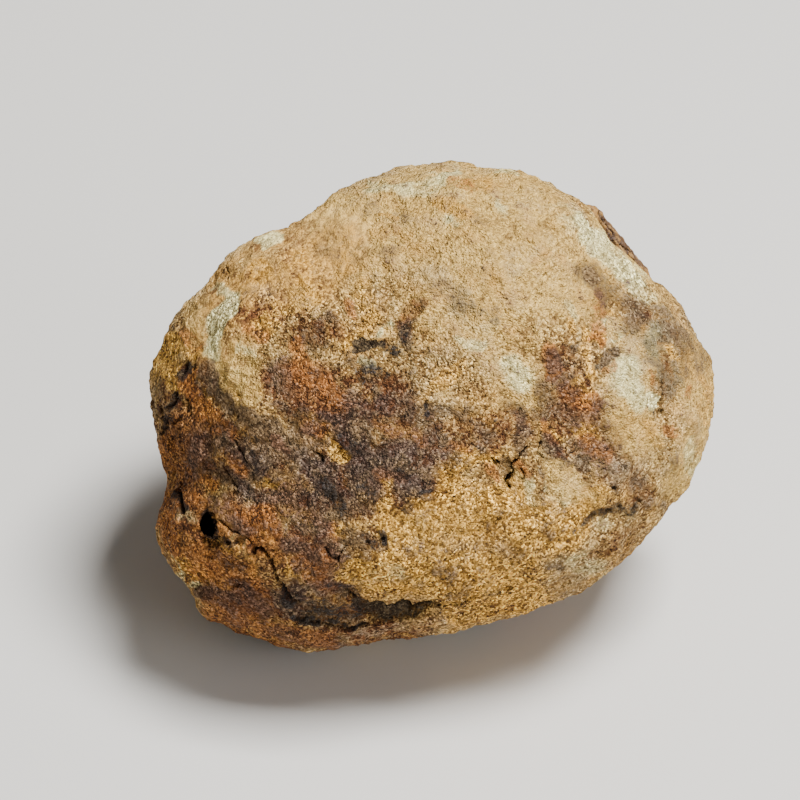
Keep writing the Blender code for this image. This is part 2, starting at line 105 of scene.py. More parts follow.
# --- Marks on the broad face --------------------------------------------------------------------------------
# Open cracks: width and depth in millimetres, then the line.
CRACKS = [
    (0.24, 0.9, [(254, 547), (262, 550), (266, 553), (271, 561), (275, 570), (278, 580)]),
    (0.42, 1.2, [(281, 583), (285, 591), (291, 598), (298, 603)]),
    (0.45, 1.2, [(412, 611), (420, 607), (432, 605), (438, 606)]),
    (0.16, 0.5, [(438, 606), (448, 605), (459, 604), (469, 601), (478, 600)]),
    (0.18, 0.4, [(312, 620), (334, 624), (346, 627), (362, 624), (380, 621)]),
    (0.40, 1.1, [(351, 597), (357, 602), (369, 606), (386, 607), (402, 604), (412, 611)]),
    (0.18, 0.5, [(347, 592), (352, 597), (358, 600)]),
    (0.20, 0.9, [(528, 447), (521, 454), (519, 460), (512, 465), (513, 473), (506, 482), (510, 488)]),
    (0.20, 0.5, [(491, 457), (494, 461), (499, 463)]),
    (0.16, 0.5, [(521, 469), (525, 476), (523, 483)]),
    (0.16, 0.4, [(541, 442), (538, 452), (543, 458)]),
    (0.44, 0.8, [(178, 488), (181, 497), (182, 505), (183, 513)]),
    (0.28, 0.7, [(174, 393), (173, 402), (169, 409)]),
    (0.26, 0.6, [(185, 400), (186, 413)]),
    (0.20, 0.4, [(189, 407), (190, 415)]),
    (0.30, 0.5, [(168, 418), (165, 426), (160, 433)]),
    (0.24, 0.4, [(180, 418), (174, 424)]),
    (0.26, 0.6, [(185, 361), (182, 370), (178, 378)]),
    (0.30, 0.5, [(195, 357), (193, 366)]),
    (0.20, 0.5, [(168, 440), (170, 452), (174, 463), (172, 478)]),
    (0.16, 0.4, [(160, 400), (162, 416), (160, 428)]),
    (0.16, 0.4, [(221, 521), (232, 532), (238, 533), (248, 540), (256, 548)]),
    (0.20, 0.5, [(316, 452), (321, 456), (322, 463)]),
    (0.14, 0.4, [(325, 546), (330, 554), (335, 558)]),
    (0.14, 0.4, [(338, 560), (342, 551), (346, 545)]),
    (0.14, 0.3, [(660, 372), (661, 390), (659, 405)]),
    (0.18, 0.5, [(663, 410), (667, 420), (666, 436)]),
    (0.14, 0.3, [(622, 518), (630, 514), (636, 506), (641, 500)]),
    (0.14, 0.3, [(233, 440), (240, 452), (247, 463)]),
    (0.14, 0.3, [(226, 470), (236, 484), (240, 492)]),
    (0.12, 0.3, [(527, 239), (531, 243), (536, 246)]),
    (0.14, 0.3, [(226, 278), (228, 273), (227, 268)]),
]

# Patches of bared or of crusted surface: depth in millimetres (less than 0 stands proud), the stain and how
# much of it there is, then the outline.
SCALED = [
    (0.60, "black", 0.68, [(349, 595), (357, 601), (369, 604), (380, 602), (386, 605), (395, 604),
        (403, 602), (409, 605), (416, 611), (424, 607), (438, 606), (425, 612), (414, 617), (400, 619),
        (378, 620), (362, 612), (352, 604)]),
    (0.25, "manganese", 0.35, [(296, 603), (310, 600), (330, 603), (350, 606), (362, 612), (378, 620),
        (360, 624), (346, 627), (334, 625), (316, 622), (300, 619), (290, 612)]),
    (0.40, "manganese", 0.50, [(496, 460), (505, 455), (512, 464), (512, 474), (507, 482), (501, 474)]),
    (0.18, "pale", 0.55, [(543, 462), (556, 460), (576, 463), (580, 470), (586, 482), (598, 493),
        (590, 500), (562, 502), (548, 500), (545, 484)]),
    (0.25, "ochre", 0.95, [(329, 440), (337, 443), (346, 452), (349, 462), (342, 465), (331, 461),
        (328, 450)]),
    (0.20, "pale", 0.90, [(380, 338), (382, 330), (384, 325), (391, 324), (393, 330), (388, 337)]),
    (0.25, "black", 0.95, [(351, 341), (355, 337), (362, 336), (366, 340), (376, 341), (386, 340),
        (384, 346), (372, 349), (363, 353), (354, 353)]),
    (0.15, "clay", 0.85, [(645, 393), (652, 391), (660, 396), (658, 406), (650, 410), (645, 402)]),
    (0.10, "clay", 0.85, [(228, 290), (236, 291), (239, 304), (238, 313), (230, 320), (223, 332),
        (214, 352), (207, 352), (204, 332), (205, 318), (213, 306), (222, 300)]),
    (0.15, "pale", 0.80, [(606, 318), (614, 313), (622, 316), (625, 328), (618, 340), (608, 336)]),
    (0.20, "rust", 0.45, [(406, 301), (414, 300), (424, 304), (421, 314), (411, 321), (401, 325),
        (400, 313)]),
    (0.20, "manganese", 0.85, [(577, 459), (588, 458), (592, 465), (590, 474), (584, 476), (580, 470)]),
    (-0.15, "ochre", 0.60, [(423, 395), (432, 378), (445, 368), (464, 356), (470, 364), (454, 384),
        (438, 395)]),
    (-0.12, "rust", 0.55, [(478, 462), (486, 459), (495, 464), (500, 474), (500, 482), (490, 478),
        (483, 470)]),
    (0.15, "manganese", 0.85, [(598, 362), (602, 352), (612, 346), (622, 347), (619, 357), (608, 366),
        (600, 369)]),
    (0.15, "manganese", 0.80, [(562, 341), (570, 344), (578, 343), (577, 352), (570, 356), (563, 351)]),
    (-0.10, "ochre", 0.80, [(664, 347), (669, 344), (675, 352), (675, 361), (669, 360)]),
    (0.15, "manganese", 0.70, [(585, 266), (592, 265), (600, 271), (602, 281), (594, 284), (587, 277)]),
    (0.15, "manganese", 0.75, [(628, 300), (637, 297), (643, 305), (641, 315), (632, 313)]),
    (-0.12, "pale", 0.70, [(212, 365), (240, 352), (262, 362), (262, 400), (246, 398), (232, 390),
        (222, 378)]),
    (0.12, "manganese", 0.35, [(300, 328), (312, 324), (320, 338), (316, 354), (304, 350)]),
]  # fmt: skip

# Flake edges: height and reach of the raised side in millimetres, then the line, raised on its left.
LEDGES = [
    (0.30, 1.6, [(300, 624), (316, 625), (334, 628), (346, 630), (365, 626), (384, 624), (410, 621)]),
    (0.30, 2.6, [(456, 481), (445, 486), (436, 494), (424, 498), (410, 496), (396, 500), (380, 498)]),
    (0.22, 2.0, [(276, 562), (262, 549), (250, 541), (238, 533), (224, 527)]),
    (0.16, 0.8, [(392, 613), (372, 612), (352, 608), (330, 606), (300, 609)]),
    (0.14, 0.8, [(348, 618), (330, 616), (306, 617)]),
    (0.24, 3.0, [(398, 216), (384, 212), (372, 213), (358, 208)]),
    (0.26, 2.0, [(500, 178), (508, 182), (520, 191), (536, 198), (552, 206), (562, 213)]),
    (0.24, 2.4, [(562, 402), (556, 388), (560, 370), (556, 352)]),
    (0.24, 2.2, [(423, 397), (431, 380), (445, 368), (470, 352)]),
    (0.22, 1.6, [(373, 284), (380, 297), (387, 307), (396, 312)]),
    (0.22, 2.0, [(424, 318), (425, 302), (430, 288)]),
    (0.20, 2.2, [(600, 356), (606, 372), (604, 390), (614, 404)]),
    (0.26, 2.4, [(262, 402), (238, 398), (228, 386), (212, 366)]),
    (0.22, 1.8, [(463, 231), (475, 222), (490, 214)]),
    (0.20, 1.8, [(436, 200), (448, 206), (458, 216), (468, 222)]),
    (0.22, 1.8, [(500, 484), (488, 474), (478, 462)]),
    (0.20, 2.0, [(330, 306), (318, 312), (300, 311), (284, 318)]),
    (0.20, 1.6, [(198, 586), (186, 577), (174, 562), (166, 548)]),
    (0.20, 1.8, [(640, 262), (652, 282), (662, 300)]),
    (0.18, 1.8, [(520, 300), (506, 280), (504, 258)]),
    (0.24, 2.0, [(310, 498), (280, 500), (250, 494), (232, 484)]),
    (0.20, 1.8, [(546, 500), (544, 480), (541, 462)]),
    (0.20, 1.8, [(690, 400), (684, 378), (688, 350)]),
]

# The broken edge of the crust beside the fossil. What stands beyond it is drawn in to it.
RIM_LINE = [(585, 204), (589, 209), (595, 216), (600, 224), (605, 231), (606, 235), (610, 241), (615, 246),
            (624, 252), (632, 259), (638, 265), (643, 270), (648, 275), (653, 281)]  # fmt: skip

# Slits and holes in the front of the fossil, just beyond the rim, cut back and given the painted shade that
# falls between the crust and the fossil's wall: half width in millimetres, then the line.
SLITS = [
    (0.24, [(600, 213), (604, 219)]),
    (0.10, [(601, 222), (607, 232)]),
    (0.16, [(609, 237), (617, 246)]),
    (0.08, [(628, 255), (634, 260)]),
    (0.08, [(606, 224), (614, 234)]),
    (0.06, [(620, 244), (634, 254)]),
]

# Holes and pockets: place, half width, half height and depth in millimetres.
HOLLOWS = [
    ((209, 524), 1.00, 1.30, 2.2),
    ((213, 542), 1.30, 0.80, 0.6),
    ((201, 541), 0.25, 0.60, 0.8),
    ((240, 541), 0.70, 0.75, 0.6),
    ((229, 543), 0.40, 0.25, 0.7),
    ((254, 551), 0.28, 0.50, 1.0),
    ((596, 518), 0.30, 0.25, 0.4),
    ((610, 512), 0.40, 0.22, 0.4),
    ((621, 508), 0.30, 0.20, 0.4),
    ((640, 502), 0.25, 0.20, 0.4),
    ((614, 488), 0.30, 0.22, 0.5),
    ((560, 558), 0.35, 0.20, 0.5),
    ((508, 590), 0.45, 0.20, 0.5),
    ((382, 538), 0.40, 0.50, 0.5),
    ((368, 541), 0.35, 0.25, 0.4),
    ((337, 557), 0.40, 0.25, 0.4),
    ((236, 587), 0.60, 0.22, 0.4),
    ((660, 413), 0.20, 0.30, 0.3),
    ((403, 314), 0.15, 0.55, 0.3),
    ((434, 306), 0.15, 0.15, 0.3),
    ((425, 405), 0.30, 0.70, 0.3),
    ((581, 290), 0.12, 0.40, 0.3),
    ((646, 321), 0.25, 0.15, 0.3),
    ((348, 294), 0.50, 0.25, 0.3),
]

# Stains, and where the stone is rubbed smooth, as brush strokes: (strength, half width in steps) of each
# brush, broad ones first, then the lines that it draws. A few strokes paint light or shade instead, as noted
# where they stand: a highlight along the rim, and shadow lines in a crease, under ledges and round a recessed
# patch. Some earth and rust strokes over the roll below the crease and along the bottom lip are partly
# painted shade, and many thin black lines follow the cracks, holes and ledge edges and darken them further.
STAINS = {
    "rubbed": {
        (0.9, 34): [[(215, 345), (232, 295), (275, 255), (340, 235)]],
        (0.6, 20): [[(300, 290), (350, 270)]],
        (0.5, 20): [[(222, 515), (262, 540)]],
    },
    "pale": {
        (1.0, 55): [[(360, 225), (430, 200), (520, 210)]],
        (0.9, 50): [[(480, 260), (540, 268), (572, 280)]],
        (0.4, 40): [[(440, 260), (540, 280)]],
        (0.7, 36): [[(430, 300), (500, 335), (520, 380)]],
        (0.9, 26): [[(636, 350), (632, 390), (638, 440)], [(694, 350), (702, 420), (688, 480)]],
        (0.3, 26): [[(225, 290), (290, 250), (350, 235)]],
        (0.5, 20): [[(300, 290), (350, 280), (400, 260)]],
        (0.5, 16): [[(462, 304), (484, 320)]],
        (0.4, 16): [[(400, 520), (440, 530), (470, 520)]],
        (0.8, 14): [[(560, 470), (575, 490), (590, 500)]],
        (0.6, 14): [[(222, 365), (236, 385)]],
        (0.5, 14): [[(200, 300), (196, 330)]],
        (0.4, 14): [[(660, 290), (676, 310)]],
        (1.0, 12): [[(231, 293), (216, 320), (209, 350)]],
        (0.9, 12): [[(240, 352), (250, 375), (252, 395)]],
        (0.5, 12): [[(520, 484), (534, 500)]],
        (0.4, 12): [[(656, 330), (668, 380)]],
        (0.25, 10): [[(285, 515), (305, 530)]],
        (0.6, 7): [[(440, 382), (448, 392)]],
        # Painted highlight: a thin pale line along the crust's broken rim, where its edge catches the light.
        (1.0, 4): [[(588, 208), (600, 224), (610, 241), (632, 259), (650, 278)]],
    },
    "earth": {
        (1.0, 34): [[(330, 450), (370, 480), (420, 470)]],
        (0.5, 34): [[(236, 300), (290, 285), (340, 250)]],
        (0.75, 32): [[(185, 395), (172, 440), (172, 500)]],
        (0.7, 30): [[(190, 545), (220, 575), (250, 600)]],
        (0.9, 28): [[(215, 440), (260, 465), (310, 488)]],
        (0.8, 28): [[(285, 385), (330, 395), (390, 402)]],
        (0.8, 24): [[(295, 548), (325, 570), (330, 590)]],
        (0.6, 24): [[(560, 370), (575, 400), (572, 440), (600, 460)]],
        (0.9, 20): [[(240, 612), (300, 606), (350, 612)], [(245, 500), (262, 535)]],
        (0.4, 20): [[(450, 588), (500, 598)]],
        (0.6, 18): [[(440, 438), (480, 435), (515, 425)]],
        (0.5, 18): [[(368, 575), (412, 592)]],
        (0.4, 18): [[(625, 465), (642, 495)]],
        # Partly painted shade: the next two brushes darken the bottom lip and the roll below the crease.
        (0.9, 16): [[(220, 625), (280, 634), (330, 640), (420, 632)]],
        (0.6, 16): [[(290, 505), (320, 530)]],
        (0.25, 16): [[(600, 560), (636, 535)]],
        (0.5, 14): [[(300, 335), (335, 330)], [(640, 322), (660, 342), (666, 380)]],
        (0.45, 14): [[(408, 570), (440, 582)]],
        (0.25, 14): [[(676, 316), (690, 340), (698, 372)]],
        (0.7, 9): [[(404, 330), (412, 314), (420, 303)]],
        (0.5, 8): [[(430, 618), (484, 611)]],
    },
    "ochre": {
        (0.5, 34): [[(236, 300), (290, 285), (340, 250)]],
        (0.8, 30): [[(400, 525), (450, 515), (520, 520), (560, 530)], [(370, 570), (430, 575), (520, 575)]],
        (0.8, 16): [[(450, 490), (480, 500), (505, 495)]],
        (0.7, 14): [[(455, 612), (500, 606), (540, 600)]],
        (0.6, 14): [[(362, 292), (370, 318), (360, 330)], [(600, 498), (566, 512), (580, 530)]],
        (0.4, 14): [[(380, 232), (420, 240)]],
        (0.8, 12): [[(445, 470), (470, 456), (492, 455)], [(165, 342), (162, 362), (170, 380)]],
        (0.4, 12): [[(540, 262), (562, 250)]],
        (0.6, 11): [[(235, 552), (250, 570)]],
        (0.5, 10): [[(650, 425), (656, 445)]],
        (0.9, 9): [[(588, 333), (600, 338)]],
        (0.8, 9): [[(258, 266), (262, 278)], [(342, 562), (352, 580)], [(183, 562), (200, 572)]],
        (0.7, 9): [[(304, 284), (314, 300)], [(178, 344), (192, 350)], [(578, 428), (598, 436)],
            [(205, 580), (222, 590)], [(440, 204), (466, 214)]],
        (0.6, 9): [[(258, 322), (272, 328)]],
        (0.8, 8): [[(245, 356), (255, 372), (256, 392)], [(335, 522), (345, 535)],
            [(290, 568), (306, 576)]],
        (0.7, 8): [[(586, 350), (592, 374)], [(578, 384), (590, 396)]],
        (0.6, 8): [[(208, 412), (212, 422)], [(312, 418), (330, 436)]],
        (0.5, 8): [[(210, 480), (216, 486)], [(228, 556), (236, 564)], [(300, 256), (308, 262)],
            [(705, 380), (707, 420)], [(420, 400), (432, 404)]],
        (1.0, 7): [[(336, 448), (342, 458)]],
        (0.7, 7): [[(544, 428), (554, 436)]],
        (0.6, 7): [[(225, 372), (236, 388)]],
        (0.8, 6): [[(386, 482), (384, 498)], [(406, 498), (425, 500), (438, 492)], [(668, 347), (672, 360)],
            [(207, 542), (222, 546)]],
        (0.7, 6): [[(262, 530), (270, 538)]],
        (0.6, 6): [[(462, 188), (488, 186)]],
        (0.5, 6): [[(191, 383), (193, 388)], [(189, 370), (192, 376)]],
        (0.8, 5): [[(349, 337), (348, 350)], [(567, 322), (570, 332)]],
        (0.7, 5): [[(365, 498), (374, 508)], [(610, 305), (613, 311)], [(266, 478), (280, 486)],
            [(304, 478), (315, 488)]],
        (0.6, 5): [[(258, 482), (278, 485)], [(312, 596), (324, 602)]],
        (0.4, 5): [[(286, 484), (310, 488)]],
        (0.6, 4): [[(366, 614), (378, 618)]],
        (0.7, 3): [[(376, 214), (396, 218)]],
    },
    "rust": {
        (0.5, 30): [[(190, 430), (180, 520), (240, 590)]],
        (0.35, 26): [[(300, 370), (330, 410)]],
        # Partly painted shade: this brush darkens the roll below the crease.
        (0.45, 24): [[(290, 500), (320, 560)]],
        (0.55, 22): [[(222, 515), (250, 530), (268, 550)]],
        (0.3, 22): [[(575, 400), (600, 440)]],
        (0.7, 18): [[(205, 562), (240, 580)]],
        (0.7, 14): [[(215, 604), (240, 618)]],
        # Partly painted shade: this brush darkens the bottom lip.
        (0.6, 12): [[(262, 600), (262, 630), (330, 642)]],
        (0.8, 11): [[(264, 508), (272, 530)]],
        (0.9, 10): [[(204, 410), (216, 426)]],
        (0.8, 10): [[(165, 440), (166, 470)], [(163, 522), (172, 545)], [(568, 392), (592, 402)]],
        (0.7, 10): [[(298, 345), (302, 372)]],
        (0.6, 10): [[(312, 380), (330, 392)]],
        (0.8, 9): [[(164, 500), (172, 512)], [(322, 555), (312, 572), (330, 586)]],
        (0.9, 8): [[(191, 372), (183, 384)], [(188, 390), (200, 402)]],
        (0.8, 8): [[(547, 350), (552, 370)]],
        (0.7, 8): [[(302, 424), (318, 430)], [(244, 520), (250, 535)], [(296, 562), (312, 552)]],
        (0.6, 8): [[(402, 424), (418, 440)], [(585, 440), (605, 452)], [(182, 334), (196, 344)],
            [(248, 330), (262, 336)]],
        (0.5, 8): [[(600, 292), (602, 326)]],
        (0.8, 7): [[(232, 462), (242, 474)], [(516, 466), (526, 478)]],
        (0.7, 7): [[(330, 525), (340, 540)]],
        (0.6, 7): [[(376, 426), (396, 436)], [(382, 474), (398, 478)], [(611, 355), (610, 370)]],
        (0.5, 7): [[(428, 414), (436, 422)]],
        (0.8, 6): [[(226, 428), (234, 435)], [(276, 438), (284, 446)], [(596, 336), (603, 343)],
            [(543, 424), (550, 440)]],
        (0.7, 6): [[(206, 477), (214, 484)], [(192, 496), (198, 504)], [(648, 374), (653, 384)]],
        (0.6, 6): [[(330, 402), (348, 408)]],
        (0.5, 6): [[(452, 444), (464, 450)]],
        (0.9, 5): [[(552, 370), (556, 378)]],
        (0.6, 5): [[(688, 387), (688, 395)], [(344, 300), (350, 314)], [(670, 428), (671, 434)]],
        (0.5, 5): [[(450, 184), (472, 190)]],
    },
    "clay": {
        (0.2, 16): [[(462, 304), (484, 320)]],
        (0.7, 13): [[(512, 364), (522, 380)]],
        (0.8, 12): [[(622, 364), (626, 388), (638, 402)]],
        (0.2, 12): [[(656, 330), (668, 380)]],
        (0.3, 11): [[(574, 562), (600, 572)]],
        (0.8, 10): [[(231, 294), (227, 308), (217, 318), (211, 334), (209, 352)]],
        (0.6, 10): [[(552, 484), (566, 494)]],
        (0.4, 10): [[(560, 212), (590, 236)]],
        (0.85, 9): [[(580, 222), (592, 238), (610, 258), (632, 276)]],
        (0.45, 9): [[(636, 282), (650, 298)]],
        (0.3, 9): [[(290, 524), (312, 532)]],
        (0.25, 9): [[(380, 568), (400, 572)]],
        (0.6, 8): [[(372, 188), (400, 189), (436, 183)], [(598, 232), (612, 250), (640, 280)]],
        (0.5, 8): [[(655, 332), (648, 350)]],
        (0.2, 8): [[(592, 520), (608, 527)]],
        (0.7, 7): [[(611, 322), (616, 334)]],
        (0.6, 7): [[(566, 306), (573, 315)]],
        (0.5, 7): [[(690, 440), (690, 468)]],
        (0.4, 7): [[(208, 543), (216, 544)]],
        (1.0, 6): [[(650, 398), (656, 404)]],
        (0.8, 6): [[(262, 246), (278, 238)]],
        (0.6, 6): [[(214, 284), (222, 290)]],
        (0.5, 6): [[(462, 340), (480, 345)], [(527, 484), (532, 498)]],
        (0.7, 5): [[(440, 179), (458, 173)]],
        (0.6, 5): [[(500, 174), (514, 177)], [(446, 220), (456, 227)], [(364, 358), (372, 364)]],
        (0.55, 5): [[(184, 514), (188, 522)], [(238, 540), (243, 543)]],
        (0.5, 5): [[(498, 206), (505, 213)], [(242, 350), (251, 357)]],
        (0.9, 4): [[(384, 334), (390, 328)]],
        (0.5, 4): [[(233, 369), (239, 371)]],
        (0.6, 3): [[(172, 556), (186, 577), (199, 586)]],
    },
    "manganese": {
        (0.45, 34): [[(345, 440), (400, 430), (420, 468)]],
        (0.4, 30): [[(215, 440), (270, 468), (330, 490)]],
        (0.2, 24): [[(560, 375), (578, 410), (614, 452)], [(285, 375), (330, 395)]],
        (0.1, 24): [[(385, 372), (400, 402)]],
        (0.4, 22): [[(290, 505), (335, 545), (300, 580)]],
        (0.3, 22): [[(450, 430), (515, 428)]],
        (0.15, 22): [[(185, 440), (180, 500)]],
        (0.45, 18): [[(245, 604), (300, 602), (345, 600)]],
        (0.15, 18): [[(662, 340), (665, 385)]],
        (0.9, 15): [[(314, 470), (334, 490), (346, 508)], [(350, 440), (360, 466), (372, 490)]],
        (0.4, 14): [[(268, 524), (292, 536)]],
        (0.15, 14): [[(680, 318), (694, 342), (700, 372)]],
        (0.75, 13): [[(590, 270), (600, 282), (609, 293)]],
        (0.65, 13): [[(632, 302), (638, 314), (628, 326)]],
        (0.6, 13): [[(352, 400), (364, 420)]],
        (0.5, 13): [[(652, 316), (664, 326), (676, 338)]],
        (0.4, 13): [[(600, 410), (612, 440)], [(486, 545), (500, 522)]],
        (0.35, 13): [[(372, 374), (386, 392)]],
        (0.3, 13): [[(644, 340), (660, 356), (668, 376)]],
        (0.8, 12): [[(340, 502), (364, 506)]],
        (0.7, 12): [[(384, 462), (398, 472)]],
        (0.6, 12): [[(308, 480), (322, 496), (334, 506)]],
        (0.45, 12): [[(276, 496), (306, 500)], [(210, 594), (228, 606)]],
        (0.4, 12): [[(300, 522), (324, 534)], [(226, 606), (240, 616)], [(440, 570), (460, 592)]],
        (0.35, 12): [[(318, 642), (360, 640)], [(560, 404), (576, 418)]],
        (0.3, 12): [[(400, 348), (405, 366)]],
        (0.25, 12): [[(402, 380), (410, 400)]],
        (0.8, 11): [[(398, 484), (426, 487)]],
        (0.6, 11): [[(264, 424), (284, 440)], [(384, 402), (402, 410)]],
        (0.4, 11): [[(464, 306), (496, 312)]],
        (0.9, 10): [[(546, 442), (558, 458)]],
        (0.85, 10): [[(242, 448), (258, 468)]],
        (0.8, 10): [[(206, 370), (214, 386), (226, 406)], [(242, 410), (260, 428)]],
        (0.6, 10): [[(414, 418), (428, 432)]],
        (0.5, 10): [[(562, 382), (574, 392)], [(266, 446), (284, 456)]],
        (0.45, 10): [[(432, 462), (450, 456)], [(278, 632), (298, 640)]],
        (0.4, 10): [[(222, 556), (242, 562)]],
        (0.35, 10): [[(298, 434), (312, 446)]],
        (0.25, 10): [[(284, 360), (290, 392)]],
        (0.2, 10): [[(418, 352), (420, 380)], [(604, 468), (616, 478)]],
        (0.8, 9): [[(270, 428), (286, 444)], [(222, 474), (244, 490)], [(384, 446), (405, 452)]],
        (0.7, 9): [[(294, 452), (306, 462)], [(542, 386), (546, 412)], [(286, 546), (310, 552)],
            [(250, 598), (262, 614)], [(280, 600), (300, 612)]],
        (0.6, 9): [[(222, 500), (232, 520), (246, 530)], [(202, 442), (214, 470)],
            [(348, 546), (366, 556)]],
        (0.5, 9): [[(664, 333), (688, 347)], [(638, 486), (648, 500)], [(506, 547), (520, 556)]],
        (0.4, 9): [[(306, 334), (314, 350)], [(692, 340), (702, 362)], [(352, 208), (371, 211)],
            [(404, 212), (412, 222)], [(434, 284), (456, 292)], [(560, 590), (580, 585)]],
        (0.3, 9): [[(628, 462), (640, 480)]],
        (0.8, 8): [[(337, 428), (350, 444)], [(551, 356), (554, 366)], [(326, 545), (342, 555)]],
        (0.7, 8): [[(280, 408), (300, 430)], [(226, 442), (234, 454)], [(366, 538), (380, 546)],
            [(330, 582), (344, 592)], [(298, 584), (310, 596)]],
        (0.6, 8): [[(350, 532), (362, 540)], [(424, 404), (440, 412)], [(420, 303), (415, 316), (406, 330)],
            [(300, 408), (312, 424)], [(320, 524), (318, 540)]],
        (0.5, 8): [[(350, 358), (366, 362)], [(332, 322), (342, 334)]],
        (0.4, 8): [[(366, 248), (394, 251)], [(320, 246), (334, 256)]],
        (0.35, 8): [[(628, 534), (618, 550)]],
        (0.3, 8): [[(268, 372), (271, 390)], [(574, 446), (586, 454)]],
        (0.8, 7): [[(400, 330), (408, 340)]],
        (0.6, 7): [[(430, 404), (434, 424)], [(398, 500), (406, 504)], [(480, 428), (492, 434)],
            [(650, 344), (643, 357)], [(680, 356), (684, 373)], [(612, 486), (618, 492)],
            [(214, 500), (213, 510)]],
        (0.5, 7): [[(668, 452), (672, 464)]],
        (0.35, 7): [[(664, 366), (668, 390)]],
        (0.9, 6): [[(320, 415), (336, 421), (350, 424)]],
        (0.8, 6): [[(524, 432), (524, 452)]],
        (0.7, 6): [[(230, 586), (243, 590)]],
        (0.6, 6): [[(192, 458), (198, 474)], [(318, 326), (325, 346)], [(506, 402), (514, 410)],
            [(545, 523), (550, 532)]],
        (0.3, 6): [[(470, 268), (484, 276)]],
        (0.8, 5): [[(519, 406), (521, 428)]],
        (0.7, 5): [[(196, 384), (199, 392)], [(532, 413), (541, 418)]],
        # The first line of the next brush is a painted shadow in the crease across the left of the face.
        (0.6, 5): [[(246, 492), (272, 497), (306, 497)], [(440, 408), (456, 412), (470, 420)],
            [(478, 442), (486, 448)], [(551, 566), (561, 570)], [(196, 592), (216, 596)]],
        (0.5, 5): [[(662, 504), (666, 510)], [(402, 542), (408, 555)], [(478, 217), (489, 222)]],
        (0.3, 5): [[(662, 392), (660, 410)]],
        # The next two brushes are painted shadow lines, down the left edge and along the top of the recessed
        # cream patch.
        (0.6, 4): [[(542, 464), (545, 482), (542, 498)]],
        (0.7, 3): [[(558, 460), (577, 462)]],
    },
    "black": {
        (0.8, 9): [[(206, 518), (212, 532)]],
        (0.5, 8): [[(328, 487), (342, 508)]],
        (0.6, 6): [[(376, 368), (387, 374)], [(588, 522), (598, 518), (611, 512), (624, 508)]],
        (0.5, 6): [[(352, 444), (360, 457)]],
        (0.4, 6): [[(366, 486), (375, 494)]],
        (0.7, 5): [[(318, 608), (344, 612)]],
        (0.6, 5): [[(386, 346), (397, 350)], [(364, 370), (366, 380)], [(564, 346), (573, 352)]],
        (0.5, 5): [[(366, 538), (373, 544)], [(339, 435), (346, 444)], [(398, 470), (404, 480)]],
        (0.35, 5): [[(576, 534), (586, 522)]],
        # Painted shadow lines: the next brush along the upper edge of the bottom lip, and the first line of
        # the one after under the ledge at the top of the dark band.
        (0.8, 4): [[(292, 617), (330, 621), (346, 625), (364, 622)]],
        (0.7, 4): [[(352, 607), (374, 612), (396, 611)], [(599, 364), (605, 360)], [(284, 592), (294, 602)],
            [(178, 490), (184, 512)], [(183, 362), (180, 377)], [(380, 534), (385, 543)]],
        (0.6, 4): [[(173, 394), (170, 408)], [(167, 418), (162, 431)], [(222, 541), (233, 546)]],
        (0.5, 4): [[(402, 334), (404, 342)], [(637, 500), (633, 511)], [(584, 461), (589, 471)],
            [(332, 584), (343, 591)], [(250, 455), (256, 466)], [(418, 492), (430, 488)]],
        (0.6, 3): [[(296, 608), (318, 612), (342, 611)], [(306, 619), (336, 622)],
            [(423, 398), (427, 413)]],
        (0.5, 3): [[(300, 600), (326, 602)], [(661, 400), (660, 416)], [(612, 486), (617, 490)],
            [(300, 332), (306, 346)], [(286, 344), (294, 340)]],
    },
}  # fmt: skip

# How much of each stain there is where the stone is out of the camera's sight: middle, swing and spacing.
STAINS_BEHIND = {
    "rubbed": (0.10, 1.0, 14.0),
    "pale": (0.50, 1.0, 16.0),
    "earth": (0.40, 1.0, 13.0),
    "ochre": (0.25, 0.9, 11.0),
    "rust": (0.12, 0.9, 9.0),
    "clay": (0.00, 1.1, 8.0),
    "manganese": (0.18, 1.1, 10.0),
    "black": (-0.20, 1.0, 6.0),
}


# --- Settings -----------------------------------------------------------------------------------------------
def linear(code):
    """An sRGB hex colour as linear red, green, blue and alpha."""
    channels = [int(code[i : i + 2], 16) / 255 for i in (0, 2, 4)]
    return tuple(c / 12.92 if c <= 0.04045 else ((c + 0.055) / 1.055) ** 2.4 for c in channels) + (1.0,)


def colour(name, description, code):
    """A colour setting, from an sRGB hex colour."""
    return FloatVectorProperty(
        name=name, description=description, default=linear(code), size=4, subtype="COLOR", min=0.0, max=1.0
    )


def length(name, description, millimetres):
    """A length setting, which Blender keeps in metres."""
    metres = millimetres * MM
    return FloatProperty(
        name=name, description=description, default=metres, min=0.0, subtype="DISTANCE", unit="LENGTH"
    )


def light_power(name, description, watts):
    """The power of a light."""
    return FloatProperty(name=name, description=description, default=watts, min=0.0, unit="POWER")


class StoneSettings(bpy.types.PropertyGroup):
    """Sizes and colours of the stone."""

    facet: length("Facet size", "Spacing of the stone's mesh, twice that of its broad face", 0.60)
    lump: length("Lump height", "Height of the lumps, some 3 mm across", 0.30)
    grit: length("Grit height", "Height of the weathered grit", 0.18)
    flake: length("Flake height", "Height of the steps between weathered flakes", 0.16)
    umber: colour("Umber", "Earth-stained mudstone", "6F4526")
    tan: colour("Tan", "Weathered mudstone", "B28C4E")
    cream: colour("Cream", "Sun-bleached mudstone", "F2C66B")
    ochre: colour("Ochre", "Yellow limonite", "CA943B")
    rust: colour("Rust", "Orange iron oxide", "A4642B")
    clay: colour("Clay", "Greenish-grey unaltered mudstone", "F4E8A4")
    manganese: colour("Manganese", "Purple-brown iron and manganese stain", "433733")
    black: colour("Black", "Manganese crust", "22201F")


